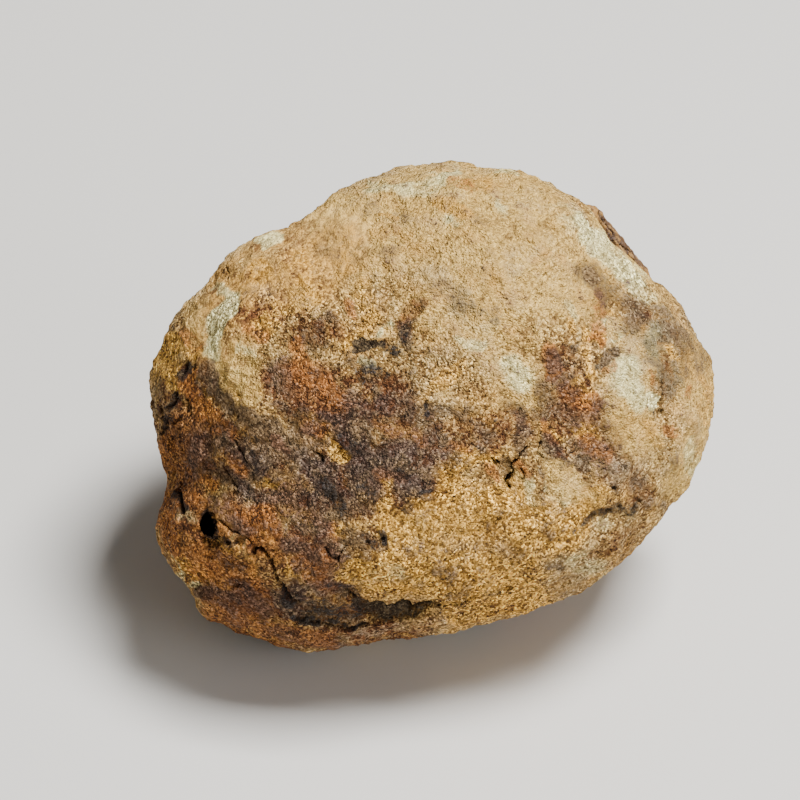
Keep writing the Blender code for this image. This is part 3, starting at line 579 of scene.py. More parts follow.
class FossilSettings(bpy.types.PropertyGroup):
    """Sizes and colours of the fossil."""

    rows: IntProperty(name="Rows", description="Mesh rows along the fossil", default=360, min=40)
    columns: IntProperty(name="Columns", description="Mesh columns across the fossil", default=161, min=21)
    wart: length("Wart height", "Height of the warts on the glabella", 0.22)
    shell: colour("Shell", "Dark limonite cast", "60401E")
    worn: colour("Worn shell", "Cast rubbed on its crests", "B4843E")
    silt: colour("Silt", "Ochre silt left in the furrows", "B58C50")


class StageSettings(bpy.types.PropertyGroup):
    """The floor, the lights and the camera."""

    distance: length("Camera distance", "From the camera to the stone's heart", VIEW_DISTANCE)
    floor: colour("Floor", "Plain pale board", "D9D6D0")
    key: light_power("Key light", "Power of the overhead softbox", 9.1)
    fill: light_power("Fill light", "Power of the front fill", 2.0)
    sky: FloatProperty(name="Ambient", description="Strength of the room's even light", default=0.16, min=0.0)


# --- Shape helpers ------------------------------------------------------------------------------------------
def face_place(steps):
    """Frame steps to (U, V) in millimetres."""
    return (np.asarray(steps, float) - HEART_STEP) * (STEP, -STEP)


def in_frame(place):
    """(U, V) at which the camera sees each point, on the plane through the heart."""
    aim = face_place(FRAME_MIDDLE)
    return aim + (place[:, :2] - aim) * (VIEW_DISTANCE / (VIEW_DISTANCE - place[:, 2]))[:, None]


def to_stone(points):
    """Row frame in metres to the stone's frame in millimetres."""
    return (points / MM - HEART) @ STONE_AXES.T


def to_row(points):
    """The stone's frame in millimetres to the row frame in metres."""
    return (points @ STONE_AXES + HEART) * MM


def ease(x):
    """0 below 0, 1 above 1, and smooth between."""
    x = np.clip(x, 0.0, 1.0)
    return x * x * (3.0 - 2.0 * x)


def bump(x, middle, reach):
    """1 at the middle, and falling off on both sides of it."""
    return np.exp(-(((x - middle) / reach) ** 2))


def dome(x, power, fall):
    """1 at 0, falling to 0 at 1 and beyond."""
    return np.maximum(0.0, 1.0 - np.abs(x) ** power) ** fall


def fractal(points, size, octaves=4, seed=0.0, smooth=1.0):
    """Fractal noise about 0, for points and a feature size in millimetres; less smooth is more ragged."""
    offset = Vector((seed, 2.0 * seed, -seed))
    return np.array([noise.fractal(Vector(p) + offset, smooth, 2.0, octaves) for p in points / size])


def line_distance(spots, places):
    """Distance from each spot to a line through places, and 1 or -1 for its left or right side."""
    nearest = np.full(len(spots), np.inf)
    side = np.ones(len(spots))
    for start, end in zip(places, places[1:]):
        run = end - start
        along = np.clip(((spots - start) @ run) / (run @ run), 0.0, 1.0)
        away = spots - start - along[:, None] * run
        distance = np.hypot(away[:, 0], away[:, 1])
        closer = distance < nearest
        nearest[closer] = distance[closer]
        turn = run[0] * away[:, 1] - run[1] * away[:, 0]
        side[closer] = np.where(turn[closer] >= 0.0, 1.0, -1.0)
    return nearest, side


def ring_distance(spots, ring):
    """Distance to a closed outline, negative inside it."""
    places = face_place(ring + ring[:1])
    distance, _ = line_distance(spots, places)
    inside = np.zeros(len(spots), bool)
    for (x0, y0), (x1, y1) in zip(places, places[1:]):
        if y0 != y1:
            crosses = (spots[:, 1] > min(y0, y1)) & (spots[:, 1] <= max(y0, y1))
            inside ^= crosses & (spots[:, 0] < x0 + (spots[:, 1] - y0) * (x1 - x0) / (y1 - y0))
    return np.where(inside, -distance, distance)


def read_mesh(piece):
    """A mesh's points and normals as arrays."""
    mesh = piece.data
    points = np.empty(len(mesh.vertices) * 3)
    normals = np.empty(len(mesh.vertices) * 3)
    mesh.vertices.foreach_get("co", points)
    mesh.vertex_normals.foreach_get("vector", normals)
    return points.reshape(-1, 3), normals.reshape(-1, 3)


def write_mesh(piece, points):
    """Move a mesh's points."""
    piece.data.vertices.foreach_set("co", np.ascontiguousarray(points).ravel())
    piece.data.update()


def paint(piece, name, values):
    """Store one number a point, for a material to read."""
    layer = piece.data.attributes.new(name, "FLOAT", "POINT")
    layer.data.foreach_set("value", np.asarray(values, np.float32))


def select_only(piece):
    """Make a piece the only selected one, and the active one."""
    bpy.ops.object.select_all(action="DESELECT")
    piece.select_set(True)
    bpy.context.view_layer.objects.active = piece


def apply_modifier(piece, name, kind, **settings):
    """Add a modifier with its settings, and apply it."""
    modifier = piece.modifiers.new(name, kind)
    for key, value in settings.items():
        setattr(modifier, key, value)
    select_only(piece)
    bpy.ops.object.modifier_apply(modifier=modifier.name)


# --- Materials ----------------------------------------------------------------------------------------------
SWING_OF_CHANNELS = (0.92, 1.0, 1.1)  # how much of a grain's shade red, green and blue each take


def add(tree, kind, settings=None, inputs=None):
    """Add a node, with its own settings and its inputs: each a value, or a socket to link."""
    node = tree.nodes.new("ShaderNode" + kind)
    for key, value in (settings or {}).items():
        setattr(node, key, value)
    for key, value in (inputs or {}).items():
        if isinstance(value, bpy.types.NodeSocket):
            tree.links.new(value, node.inputs[key])
        else:
            node.inputs[key].default_value = value
    return node


def new_material(name, roughness):
    """A material with an empty Principled shader."""
    material = bpy.data.materials.new(name)
    material.use_nodes = True
    shader = material.node_tree.nodes["Principled BSDF"]
    shader.inputs["Roughness"].default_value = roughness
    return material, material.node_tree, shader


def weighted_sum(tree, start, sources, weights):
    """A starting value, and each named source times its weight on top."""
    value = start
    for name, weight in weights.items():
        inputs = {0: sources[name], 1: weight, 2: value}
        value = add(tree, "Math", {"operation": "MULTIPLY_ADD"}, inputs).outputs[0]
    return value


def speckle(tree, field, noises, weights, soft):
    """A speckled mask that covers as much of the surface as the field says, broken up by weighted noises."""
    value = add(tree, "Math", {"operation": "SUBTRACT"}, {0: field, 1: sum(weights.values()) / 2}).outputs[0]
    value = weighted_sum(tree, value, noises, weights)
    ends = {"Value": value, "From Min": 0.5 - soft, "From Max": 0.5 + soft}
    return add(tree, "MapRange", {"interpolation_type": "SMOOTHSTEP"}, ends).outputs["Result"]


def noise_set(tree, sizes):
    """Noises on the piece's own coordinates, each for a feature size in millimetres and its octaves. Without
    octaves it is crisp grains: each has its own shade, and a second noise holds how far they fall off."""
    place = add(tree, "TexCoord").outputs["Object"]
    noises = {}
    for name, (size, detail) in sizes.items():
        inputs = {"Vector": place, "Scale": 1.0 / (size * MM)}
        if detail == 0.0:
            cells = add(tree, "TexVoronoi", None, inputs)
            noises[name], noises[name + "_fall"] = cells.outputs["Color"], cells.outputs["Distance"]
        else:
            inputs.update({"Detail": detail, "Roughness": 0.62})
            noises[name] = add(tree, "TexNoise", None, inputs).outputs["Fac"]
    return noises


def cover(tree, under, tint, mask, strength=1.0):
    """Lay a tint over what is under it, where the mask says."""
    share = add(tree, "Math", {"operation": "MULTIPLY"}, {0: mask, 1: strength}).outputs[0]
    return add(tree, "Mix", {"data_type": "RGBA"}, {0: share, 6: under, 7: tint}).outputs[2]


def grain_shade(tree, base, grain, stops):
    """Darken and redden some grains of a surface, and lighten and bleach others, over so many stops."""
    swing = add(tree, "Math", {"operation": "SUBTRACT"}, {0: grain, 1: 0.5}).outputs[0]
    swing = add(tree, "Math", {"operation": "MULTIPLY"}, {0: swing, 1: stops}).outputs[0]
    inputs = {0: SWING_OF_CHANNELS, "Scale": swing}
    powers = add(tree, "VectorMath", {"operation": "SCALE"}, inputs).outputs[0]
    shade = add(tree, "VectorMath", {"operation": "POWER"}, {0: (2.0, 2.0, 2.0), 1: powers}).outputs[0]
    return add(tree, "VectorMath", {"operation": "MULTIPLY"}, {0: base, 1: shade}).outputs[0]


def hairlines(tree, field, width):
    """Thin wandering lines, where a noise crosses its middle."""
    off = add(tree, "Math", {"operation": "SUBTRACT"}, {0: field, 1: 0.5}).outputs[0]
    off = add(tree, "Math", {"operation": "ABSOLUTE"}, {0: off}).outputs[0]
    ends = {"Value": off, "From Min": width, "From Max": 0.3 * width}
    return add(tree, "MapRange", None, ends).outputs["Result"]


def terraces(tree, field, steps, level):
    """A noise drawn out into so many level flakes, with steep edges between them."""
    turned = add(tree, "Math", {"operation": "MULTIPLY"}, {0: field, 1: 2.0 * math.pi * steps}).outputs[0]
    wave = add(tree, "Math", {"operation": "SINE"}, {0: turned}).outputs[0]
    inputs = {0: wave, 1: -level / (2.0 * math.pi), 2: field}
    return add(tree, "Math", {"operation": "MULTIPLY_ADD"}, inputs).outputs[0]


def finish_surface(tree, shader, base, relief, height, strength=1.0):
    """Give a shader its colour, and a bump of the relief so many millimetres high."""
    tree.links.new(base, shader.inputs["Base Color"])
    raised = add(tree, "Bump", None, {"Strength": strength, "Distance": height * MM, "Height": relief})
    tree.links.new(raised.outputs["Normal"], shader.inputs["Normal"])


def mudstone_ground(tree, stone, noises, fields):
    """The stone's own colour: bleached, plain or stained with earth, with dusty and golden patches."""
    tone = weighted_sum(tree, 0.5, fields, {"pale": 0.36, "earth": -0.5})
    weights = {"cloud": 0.9, "mottle": 1.1, "fleck": 0.9, "grain": 0.6, "sand": 0.25}
    ramp = add(tree, "ValToRGB", None, {"Fac": speckle(tree, tone, noises, weights, soft=0.60)})
    ramp.color_ramp.elements[0].color = stone.umber
    ramp.color_ramp.elements[1].color = stone.cream
    ramp.color_ramp.elements.new(0.5).color = stone.tan
    base = ramp.outputs["Color"]
    dust, gold = linear("94826F"), linear("CB9748")
    patches = (
        (dust, 0.55, {"cloud": 2.2, "mottle": 1.6, "fleck": 1.0, "sand": 0.3}),
        (gold, 0.62, {"flake": 2.4, "fleck": 1.4, "sand": 0.3}),
    )
    for tint, strength, weights in patches:
        base = cover(tree, base, tint, speckle(tree, 0.32, noises, weights, soft=0.35), strength)
    return base


def weathered_mudstone(stone):
    """Iron-cemented mudstone, weathered outdoors: dead matt and sandy to the eye, bleached on top, with
    stains that lie in its grains, so that they end in a scatter of specks and not in a line. Painted shadow
    darkens its hairline fissures, and painted shade its cracks and holes."""
    material, tree, shader = new_material("weathered_mudstone", roughness=0.93)
    sizes = {  # in millimetres, and the octaves
        "cloud": (9.0, 5.0),
        "flake": (6.0, 6.0),
        "fissure": (5.0, 5.0),
        "mottle": (3.6, 6.0),
        "fleck": (1.5, 5.0),
        "grain": (0.48, 3.0),
        "sand": (0.22, 0.0),  # coarser than the real silt, which is finer than the render shows
    }
    noises = noise_set(tree, sizes)
    names = (*STAINS, "hollow_shade")
    fields = {name: add(tree, "Attribute", {"attribute_name": name}).outputs["Fac"] for name in names}

    base = mudstone_ground(tree, stone, noises, fields)
    stains = (
        ("ochre", 0.80, 0.30, {"mottle": 1.4, "fleck": 1.8, "grain": 0.9, "sand": 0.35}),
        ("clay", 0.75, 0.50, {"mottle": 1.2, "fleck": 1.2, "grain": 0.5}),
        ("rust", 0.80, 0.30, {"mottle": 1.4, "fleck": 1.8, "grain": 1.2, "sand": 0.45}),
        ("manganese", 0.75, 0.35, {"mottle": 1.4, "fleck": 2.0, "grain": 1.4, "sand": 0.6}),
        ("black", 0.88, 0.20, {"fleck": 1.4, "grain": 1.4, "sand": 0.6}),
    )
    for name, strength, soft, weights in stains:
        mask = speckle(tree, fields[name], noises, weights, soft)
        base = cover(tree, base, getattr(stone, name), mask, strength)
    sandy = weighted_sum(tree, 4.2, fields, {"pale": -2.8, "ochre": 1.5, "clay": 0.4, "rubbed": -1.7})
    for name, stops in (("sand", sandy), ("grain", 1.2), ("fleck", 0.9), ("mottle", 1.0)):
        base = grain_shade(tree, base, noises[name], stops)

    broken = speckle(tree, fields["earth"], noises, {"cloud": 2.0, "mottle": 1.5}, soft=0.15)
    lines = hairlines(tree, noises["fissure"], width=0.010)
    lines = add(tree, "Math", {"operation": "MULTIPLY"}, {0: lines, 1: broken}).outputs[0]
    # Painted shadow in the hairline fissures, and painted shade in the cracks and holes.
    shadow, painted_shade = linear("22170F"), linear("1B130D")
    base = cover(tree, base, shadow, lines, strength=0.75)
    base = cover(tree, base, painted_shade, fields["hollow_shade"], strength=0.90)

    flakes = terraces(tree, noises["flake"], steps=9.0, level=0.10)
    heights = {**noises, "flakes": flakes, "lines": lines}
    weights = {"flakes": 2.2, "lines": -0.35, "mottle": 1.4, "fleck": 1.4, "grain": 1.3, "sand_fall": -0.40}
    relief = weighted_sum(tree, 0.0, heights, weights)
    crisp = weighted_sum(tree, 1.0, fields, {"rubbed": -0.65})
    finish_surface(tree, shader, base, relief, height=0.7, strength=crisp)
    shader.inputs["Specular IOR Level"].default_value = 0.2
    return material


def limonite_cast(fossil):
    """A trilobite's shell replaced by limonite: dull brown with a faint wax, rubbed paler on its crests,
    and with ochre silt left in its furrows. Painted shadow darkens its hairline fissures, the slits in its
    front get painted shade, and its terrace grooves are darkened half as much."""
    material, tree, shader = new_material("limonite_cast", roughness=0.6)
    sizes = {  # in millimetres, and the octaves
        "cloud": (5.0, 4.0),
        "fissure": (6.0, 4.0),
        "mottle": (1.6, 5.0),
        "fleck": (0.6, 4.0),
        "grain": (0.26, 2.0),
    }
    noises = noise_set(tree, sizes)
    names = ("crest", "furrow", "shaded_slit")
    fields = {name: add(tree, "Attribute", {"attribute_name": name}).outputs["Fac"] for name in names}
    umber, shadow, painted_shade = linear("3E2714"), linear("2A1B0F"), linear("1C120A")

    patches = speckle(tree, 0.5, noises, {"cloud": 1.6, "mottle": 1.2}, soft=0.3)
    base = cover(tree, fossil.shell, umber, patches, strength=0.8)
    weights = {"mottle": 1.2, "fleck": 1.2, "grain": 0.8}
    rubbed = speckle(tree, fields["crest"], noises, weights, soft=0.35)
    base = cover(tree, base, fossil.worn, rubbed, strength=0.75)
    weights = {"cloud": 1.4, "mottle": 1.0, "fleck": 1.0}
    silted = speckle(tree, fields["furrow"], noises, weights, soft=0.25)
    base = cover(tree, base, fossil.silt, silted, strength=0.85)
    base = grain_shade(tree, base, noises["grain"], stops=1.6)
    # Painted shadow in the hairline fissures; painted shade in the slits of the front, and a darkening half
    # as strong along its terrace grooves.
    base = cover(tree, base, shadow, hairlines(tree, noises["fissure"], width=0.006), strength=0.7)
    base = cover(tree, base, painted_shade, fields["shaded_slit"], strength=0.9)
    relief = weighted_sum(tree, 0.0, noises, {"mottle": 0.7, "fleck": 0.8, "grain": 0.5})
    finish_surface(tree, shader, base, relief, height=0.30)
    ends = {"Value": silted, "To Min": 0.52, "To Max": 0.9}
    tree.links.new(add(tree, "MapRange", None, ends).outputs["Result"], shader.inputs["Roughness"])
    return material


# --- The stone ----------------------------------------------------------------------------------------------
def copy_of_node(name, piece_name):
    """A merged copy of a CAD node's mesh, as a new object."""
    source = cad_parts[name]
    piece = bpy.data.objects.new(piece_name, source.data.copy())
    bpy.context.scene.collection.objects.link(piece)
    piece.data.materials.clear()
    select_only(piece)
    bpy.ops.object.mode_set(mode="EDIT")
    bpy.ops.mesh.select_all(action="SELECT")
    bpy.ops.mesh.remove_doubles(threshold=0.01 * MM)
    bpy.ops.object.mode_set(mode="OBJECT")
    return piece


def near_marks(spots, reach):
    """Which spots lie near a crack or a hole."""
    near = np.zeros(len(spots), bool)
    for *_, line in CRACKS:
        near |= line_distance(spots, face_place(line))[0] < reach
    for place, half_wide, half_high, _ in HOLLOWS:
        away = np.abs(spots - face_place(place))
        near |= (away[:, 0] < half_wide + reach) & (away[:, 1] < half_high + reach)
    return near


def refine_face(piece, reach=None):
    """Subdivide the broad face, or only what lies so near its marks, so that they can be cut crisply."""
    mesh = piece.data
    centres = np.empty(len(mesh.polygons) * 3)
    normals = np.empty(len(mesh.polygons) * 3)
    mesh.polygons.foreach_get("center", centres)
    mesh.polygons.foreach_get("normal", normals)
    middle = to_stone(centres.reshape(-1, 3))
    near = (normals.reshape(-1, 3) @ STONE_AXES[2] > 0.05) & (middle[:, 2] > -3.0)
    if reach is not None:
        near &= near_marks(in_frame(middle), reach)
    select_only(piece)
    bpy.ops.object.mode_set(mode="EDIT")
    bpy.ops.mesh.select_all(action="DESELECT")
    bpy.ops.object.mode_set(mode="OBJECT")
    mesh.polygons.foreach_set("select", near)
    bpy.ops.object.mode_set(mode="EDIT")
    bpy.ops.mesh.subdivide(number_cuts=1)
    bpy.ops.object.mode_set(mode="OBJECT")


def past_edge(distance):
    """0 before a flake's edge and 1 past it."""
    return ease(distance / 0.2 + 0.5)


def carve_marks(spots, wobble):
    """Height of the marks at each spot, how much painted shade its depth in a crack or hole gives it, and
    the fresh surfaces' stains.
    """
    height = np.zeros(len(spots))
    hollow_shade = np.zeros(len(spots))
    fresh = {name: np.zeros(len(spots)) for name in STAINS}
    for rise, reach, line in LEDGES:
        distance, side = line_distance(spots, face_place(line))
        height += rise * past_edge(distance * side + 0.12 * wobble) * np.exp(-((distance / reach) ** 2))
    for depth, stain, share, ring in SCALED:
        bare = 1.0 - past_edge(ring_distance(spots, ring) + 0.25 * wobble)
        height -= depth * bare
        fresh[stain] = np.maximum(fresh[stain], share * bare)
    for width, depth, line in CRACKS:
        distance = line_distance(spots, face_place(line))[0] + 0.06 * wobble
        cut = 1.0 - ease((distance - 0.25 * width) / (0.45 * width))
        height -= depth * cut
        hollow_shade = np.maximum(hollow_shade, cut * min(1.0, depth / 0.7))
    for place, half_wide, half_high, depth in HOLLOWS:
        away = (spots - face_place(place)) / (half_wide, half_high)
        cut = 1.0 - ease((np.hypot(away[:, 0], away[:, 1]) + 0.14 * wobble - 0.6) / 0.4)
        height -= depth * cut
        hollow_shade = np.maximum(hollow_shade, cut * min(1.0, (depth / 1.2) ** 2))
    return height, hollow_shade, fresh


def beyond_rim(place):
    """How far each point stands outside the crust's broken edge beside the fossil."""
    distance, side = line_distance(in_frame(place), face_place(RIM_LINE))
    along = (place[:, :2] - RIM_PLACE) @ RIM_RUN
    return distance * (side > 0.0) * ease((RIM_REACH - np.abs(along)) / 0.8)


def flake_steps(place, height):
    """Low plateaus with crisp edges, where the crust has weathered off in flakes."""
    field = fractal(place, 7.0, octaves=5, seed=61.0)
    return height * sum(ease((field - level) / 0.05) - 0.5 for level in (-0.35, -0.1, 0.15, 0.4))


def fine_relief(place, stone):
    """How far lumps, grit and flakes lift each point of the stone, in millimetres."""
    lumps = stone.lump / MM * fractal(place, 3.4, octaves=3, seed=1.0)
    grit = stone.grit / MM * fractal(place, 0.9, octaves=3, seed=2.0)
    return lumps + grit + flake_steps(place, stone.flake / MM)


def stain_field(spots, strokes):
    """How much of a stain its brush strokes leave at each spot."""
    bare = np.ones(len(spots))
    for (strength, reach), lines in strokes.items():
        for line in lines:
            distance = line_distance(spots, face_place(line))[0] / STEP
            bare *= 1.0 - strength * (1.0 - ease((distance / reach - 0.55) / 0.75))
    return 1.0 - bare


def paint_stains(piece, place, front, fresh):
    """Paint each stain: with its strokes on the front, by noise behind, and as set on fresh surfaces."""
    warp = [fractal(place, 3.2, octaves=5, seed=seed, smooth=0.6) for seed in (11.0, 17.0)]
    spots = in_frame(place) + 0.6 * np.column_stack(warp)
    for number, (name, strokes) in enumerate(STAINS.items()):
        middle, swing, spacing = STAINS_BEHIND[name]
        spread = fractal(place, spacing, octaves=5, seed=20.0 + number)
        behind = np.clip(middle + swing * spread, 0.0, 1.0)
        stain = stain_field(spots, strokes) * front + behind * (1.0 - front)
        for other, share in fresh.items():
            stain = stain * (1.0 - share) + (other == name) * share
        paint(piece, name, stain)


def make_stone(stone):
    """The stone: its solid with an even mesh, finer on the broad face, carved, roughened and stained."""
    piece = copy_of_node("nodule", "weathered_stone")
    apply_modifier(piece, "even_mesh", "REMESH", mode="VOXEL", voxel_size=stone.facet)
    apply_modifier(piece, "soften", "SMOOTH", factor=0.5, iterations=8)
    refine_face(piece)
    refine_face(piece, reach=0.15)

    points, normals = read_mesh(piece)
    place = to_stone(points)
    facing = (normals @ STONE_AXES.T)[:, 2]
    seen = ease((facing - 0.1) / 0.15)
    wobble = fractal(place, 0.9, octaves=3, seed=4.0)
    marks, hollow_shade, fresh = carve_marks(in_frame(place), wobble)
    lift = marks * seen + fine_relief(place, stone)
    moved = to_stone(points + normals * (lift * MM)[:, None])
    beyond = beyond_rim(moved)
    moved[:, :2] -= np.outer(beyond, RIM_OUT)
    moved = to_row(moved)
    moved[:, 2] = np.maximum(moved[:, 2], 0.0)  # nothing dips through the floor
    write_mesh(piece, moved)

    front = ease((facing + 0.35) / 0.3) * ease((place[:, 2] + 6.0) / 4.0)
    front = np.maximum(front, ease(beyond / 0.2))
    paint_stains(piece, place, front, {name: seen * share for name, share in fresh.items()})
    # Painted shade in the cracks and holes of the broad face.
    paint(piece, "hollow_shade", hollow_shade * seen)
    select_only(piece)
    bpy.ops.object.shade_smooth()
    piece.data.materials.append(weathered_mudstone(stone))
    return piece


# --- The fossil ---------------------------------------------------------------------------------------------
TAIL_ROWS, HEAD_ROWS = 0.22, 0.65  # the shares of the rows at which the tail ends and the head starts


def segment_profile(s, pitch):
    """0 in the furrow between two segments and 1 on the segment."""
    return np.abs(np.sin(math.pi * (HEAD_BACK - s) / pitch)) ** 0.7


def half_width(s):
    """Half the fossil's width at a place along its axis."""
    half = FOSSIL_WIDTH / 2
    head = half * dome((s - HEAD_BACK) / HEAD_LENGTH, 2.3, 0.48)
    share = np.clip((HEAD_BACK - s) / (HEAD_BACK - TAIL_FRONT), 0.0, 1.0)
    thorax = half * (0.95 - 0.14 * share**1.5)
    tail = half * 0.81 * dome((TAIL_FRONT - s) / TAIL_LENGTH, 2.2, 0.5)
    width = np.where(s > HEAD_BACK, head, np.where(s > TAIL_FRONT, thorax, tail))
    scallop = SCALLOP * (segment_profile(s, PITCH) - 1.0) * ((s > TAIL_FRONT) & (s < HEAD_BACK))
    return np.maximum(NARROWEST, width) + scallop


def swept_back(s, across):
    """How far back the fossil is swept, at a share of its half width."""
    along = np.minimum(1.0, np.minimum((HEAD_END - s) / HEAD_LENGTH, (s - TAIL_END) / TAIL_LENGTH))
    return SWEEP * along * across**3


def glabella_half(along):
    """Half the glabella's width at a share of its length, and how far into its front that is."""
    front = np.maximum(0.0, (along - 0.5) / 0.5)
    return (AXIS_HALF_WIDTH + GLABELLA_FLARE * ease((along - 0.35) / 0.45)) * dome(front, 7.0, 0.5), front


def glabella(s, t):
    """The swollen middle of the head, which widens forwards and stands over the front margin."""
    along = (s - GLABELLA_BACK) / (GLABELLA_END - GLABELLA_BACK)
    half, front = glabella_half(along)
    across = t / np.maximum(half, 0.05)
    height = GLABELLA_RISE + (GLABELLA_HEIGHT - GLABELLA_RISE) * ease(along / 0.7)
    height = height * dome(across, 8.0, 0.5) * dome(front, 2.4, 0.45)
    beside = ease((np.abs(across) - 0.35) / 0.3) * (np.abs(across) < 1.0)
    for place in (0.16, 0.36):
        height -= 0.4 * beside * bump(along + 0.08 * np.abs(across), place, 0.035)
    height += 0.8 * bump(np.abs(t), 4.6, 1.3) * bump(s, HEAD_END - 1.2, 1.6)
    lobe = height * ease(along / 0.08) - 0.5 * bump(np.abs(across), 1.06, 0.09)
    return np.where((along > 0.0) & (half > 0.05), lobe, 0.0)


def head_height(s, t, across):
    """Height of the head: cheeks, border, glabella, the ring behind it, and the eyes."""
    front = (s - HEAD_BACK) / HEAD_LENGTH
    cheek = CHEEK_HEIGHT * dome(across, 2.6, 0.8) * (1.0 - 0.75 * front**2)
    border = 0.5 * ease((across - 0.88) / 0.06) - 0.35 * bump(across, 0.84, 0.04)
    collar = 2.3 * dome(t / (AXIS_HALF_WIDTH + 0.1), 2.0, 0.6) * bump(s, HEAD_BACK + 0.9, 0.75)
    rear = 0.4 * (bump(s, HEAD_BACK + 0.5, 0.6) - bump(s, HEAD_BACK + 1.6, 0.4))
    rear *= ease((np.abs(t) - AXIS_HALF_WIDTH) / 0.8) * (1.0 - ease((across - 0.8) / 0.15))
    eye = np.hypot((s - EYE_PLACE[0]) / EYE_SIZE[0], (np.abs(t) - EYE_PLACE[1]) / EYE_SIZE[1])
    lobe = EYE_HEIGHT * (1.0 - ease((eye - 0.65) / 0.6)) * (0.6 + 0.4 * ease((eye - 0.1) / 0.5))
    return cheek + border + collar + rear + glabella(s, t) + lobe


def body_height(s, t, across):
    """Height of the thorax, and of the tail shield, whose relief fades towards its end."""
    tail = np.maximum(0.0, (TAIL_FRONT - s) / TAIL_LENGTH)
    thorax = np.minimum(1.0, (HEAD_BACK - s) / (HEAD_BACK - TAIL_FRONT))
    vault = (VAULT_HEIGHT - 1.6 * tail) * dome(across, 3.0, 0.75)
    width = np.maximum(0.4, (AXIS_HALF_WIDTH - 0.7 * thorax) * dome(tail / TAIL_AXIS_END, 1.6, 0.8))
    ring = (RING_HEIGHT - 0.9 * tail) * dome(t / width, 2.0, 0.55) * (tail < TAIL_AXIS_END)
    groove = -0.4 * bump(np.abs(t) / width, 1.12, 0.15) * (1.0 - tail)
    back_turned = np.where(tail > 0.0, s + 0.3 * np.abs(t), s)
    pitch = np.where(tail > 0.0, PITCH * 0.7, PITCH)
    depth = 0.65 * (1.0 - 0.7 * tail) * (1.0 - ease((across - 0.92) / 0.08))
    return vault + ring + groove + depth * (segment_profile(back_turned, pitch) - 0.6)


def relief_height(s, t, across):
    """Height of the head, the thorax and the tail over the fossil's arched base."""
    return np.where(s > HEAD_BACK, head_height(s, t, across), body_height(s, t, across))


def rib_furrows(s, across):
    """The shallow slanting furrow along each rib of the thorax."""
    phase = ((HEAD_BACK - s) / PITCH) % 1.0
    slant = 0.32 + 0.32 * ease((across - 0.3) / 0.6)
    on_rib = ease((across - 0.36) / 0.05) * (1.0 - ease((across - 0.86) / 0.06))
    in_thorax = (s < HEAD_BACK) & (s > TAIL_FRONT)
    return -0.22 * bump(phase, slant, 0.10) * on_rib * in_thorax


def eye_lenses(s, t):
    """Rows of lenses on the outer slope of each eye."""
    ahead, out = (s - EYE_PLACE[0]) / EYE_SIZE[0], (np.abs(t) - EYE_PLACE[1]) / EYE_SIZE[1]
    reach = np.hypot(ahead, out)
    angle = np.arctan2(ahead, out)
    rows = (reach - 0.68) / 0.13
    row = np.floor(rows)
    files = angle / 0.19 + 0.5 * (row % 2.0)
    lens = dome(np.hypot(rows - row - 0.5, (files % 1.0) - 0.5) / 0.46, 2.0, 0.5)
    band = (reach > 0.68) & (reach < 1.20) & (np.abs(angle) < 1.75)
    return 0.11 * lens * band


def terrace_lines(s, t, height):
    """Grooves round the steep front of the head, level with the rock; 0 to 1."""
    _, front = glabella_half((s - GLABELLA_BACK) / (GLABELLA_END - GLABELLA_BACK))
    level = height / 0.34 + 0.25 * np.sin(1.1 * t) + 0.15 * np.sin(2.7 * t)
    return bump(level % 1.0, 0.5, 0.18) * ease((front - 0.4) / 0.2)


def warts(s, t):
    """Round warts scattered over the glabella, fewer and smaller on the cheeks."""
    height = np.zeros(len(s))
    draw = np.random.default_rng(7)
    placed = []
    for _ in range(2400):
        at = np.array((draw.uniform(GLABELLA_BACK + 0.4, HEAD_END - 0.4), draw.uniform(-9.0, 9.0)))
        half, _ = glabella_half((at[0] - GLABELLA_BACK) / (GLABELLA_END - GLABELLA_BACK))
        on_lobe = abs(at[1]) < half * 0.95
        size = draw.uniform(0.30, LARGEST_WART) if on_lobe else draw.uniform(0.16, 0.26)
        room = 1.7 * size + (0.0 if on_lobe else 0.35)
        if all(math.hypot(*(at - other)) > room + 0.6 * far for other, far in placed):
            placed.append((at, size))
    for at, size in placed:
        height += size / LARGEST_WART * dome(np.hypot(s - at[0], t - at[1]) / size, 2.0, 0.8)
    return height


def on_split_plane(u, v, distance):
    """The point over (U, V) on the plane that lies square to the split normal at a distance."""
    return np.array((u, v, (distance - SPLIT_NORMAL[0] * u - SPLIT_NORMAL[1] * v) / SPLIT_NORMAL[2]))


def on_split_face(s, t, height):
    """Points over the split face, in the stone's frame."""
    side = on_split_plane(*RIM_RUN, 0.0)
    side /= np.linalg.norm(side)
    ahead = np.cross(side, SPLIT_NORMAL)
    centre = on_split_plane(*RIM_PLACE, SPLIT_DISTANCE) - ahead * (RIM_TO_HEAD + FOSSIL_LENGTH / 2)
    return centre + np.outer(s, ahead) + np.outer(t, side) + np.outer(height, SPLIT_NORMAL)


def station(share):
    """Place along the axis, for a share of the rows from the tail's end to the head's."""
    head = HEAD_BACK + HEAD_LENGTH * np.sin(math.pi / 2 * (share - HEAD_ROWS) / (1.0 - HEAD_ROWS))
    thorax = TAIL_FRONT + (HEAD_BACK - TAIL_FRONT) * (share - TAIL_ROWS) / (HEAD_ROWS - TAIL_ROWS)
    tail = TAIL_FRONT - TAIL_LENGTH * np.sin(math.pi / 2 * (TAIL_ROWS - share) / TAIL_ROWS)
    return np.where(share > HEAD_ROWS, head, np.where(share > TAIL_ROWS, thorax, tail))


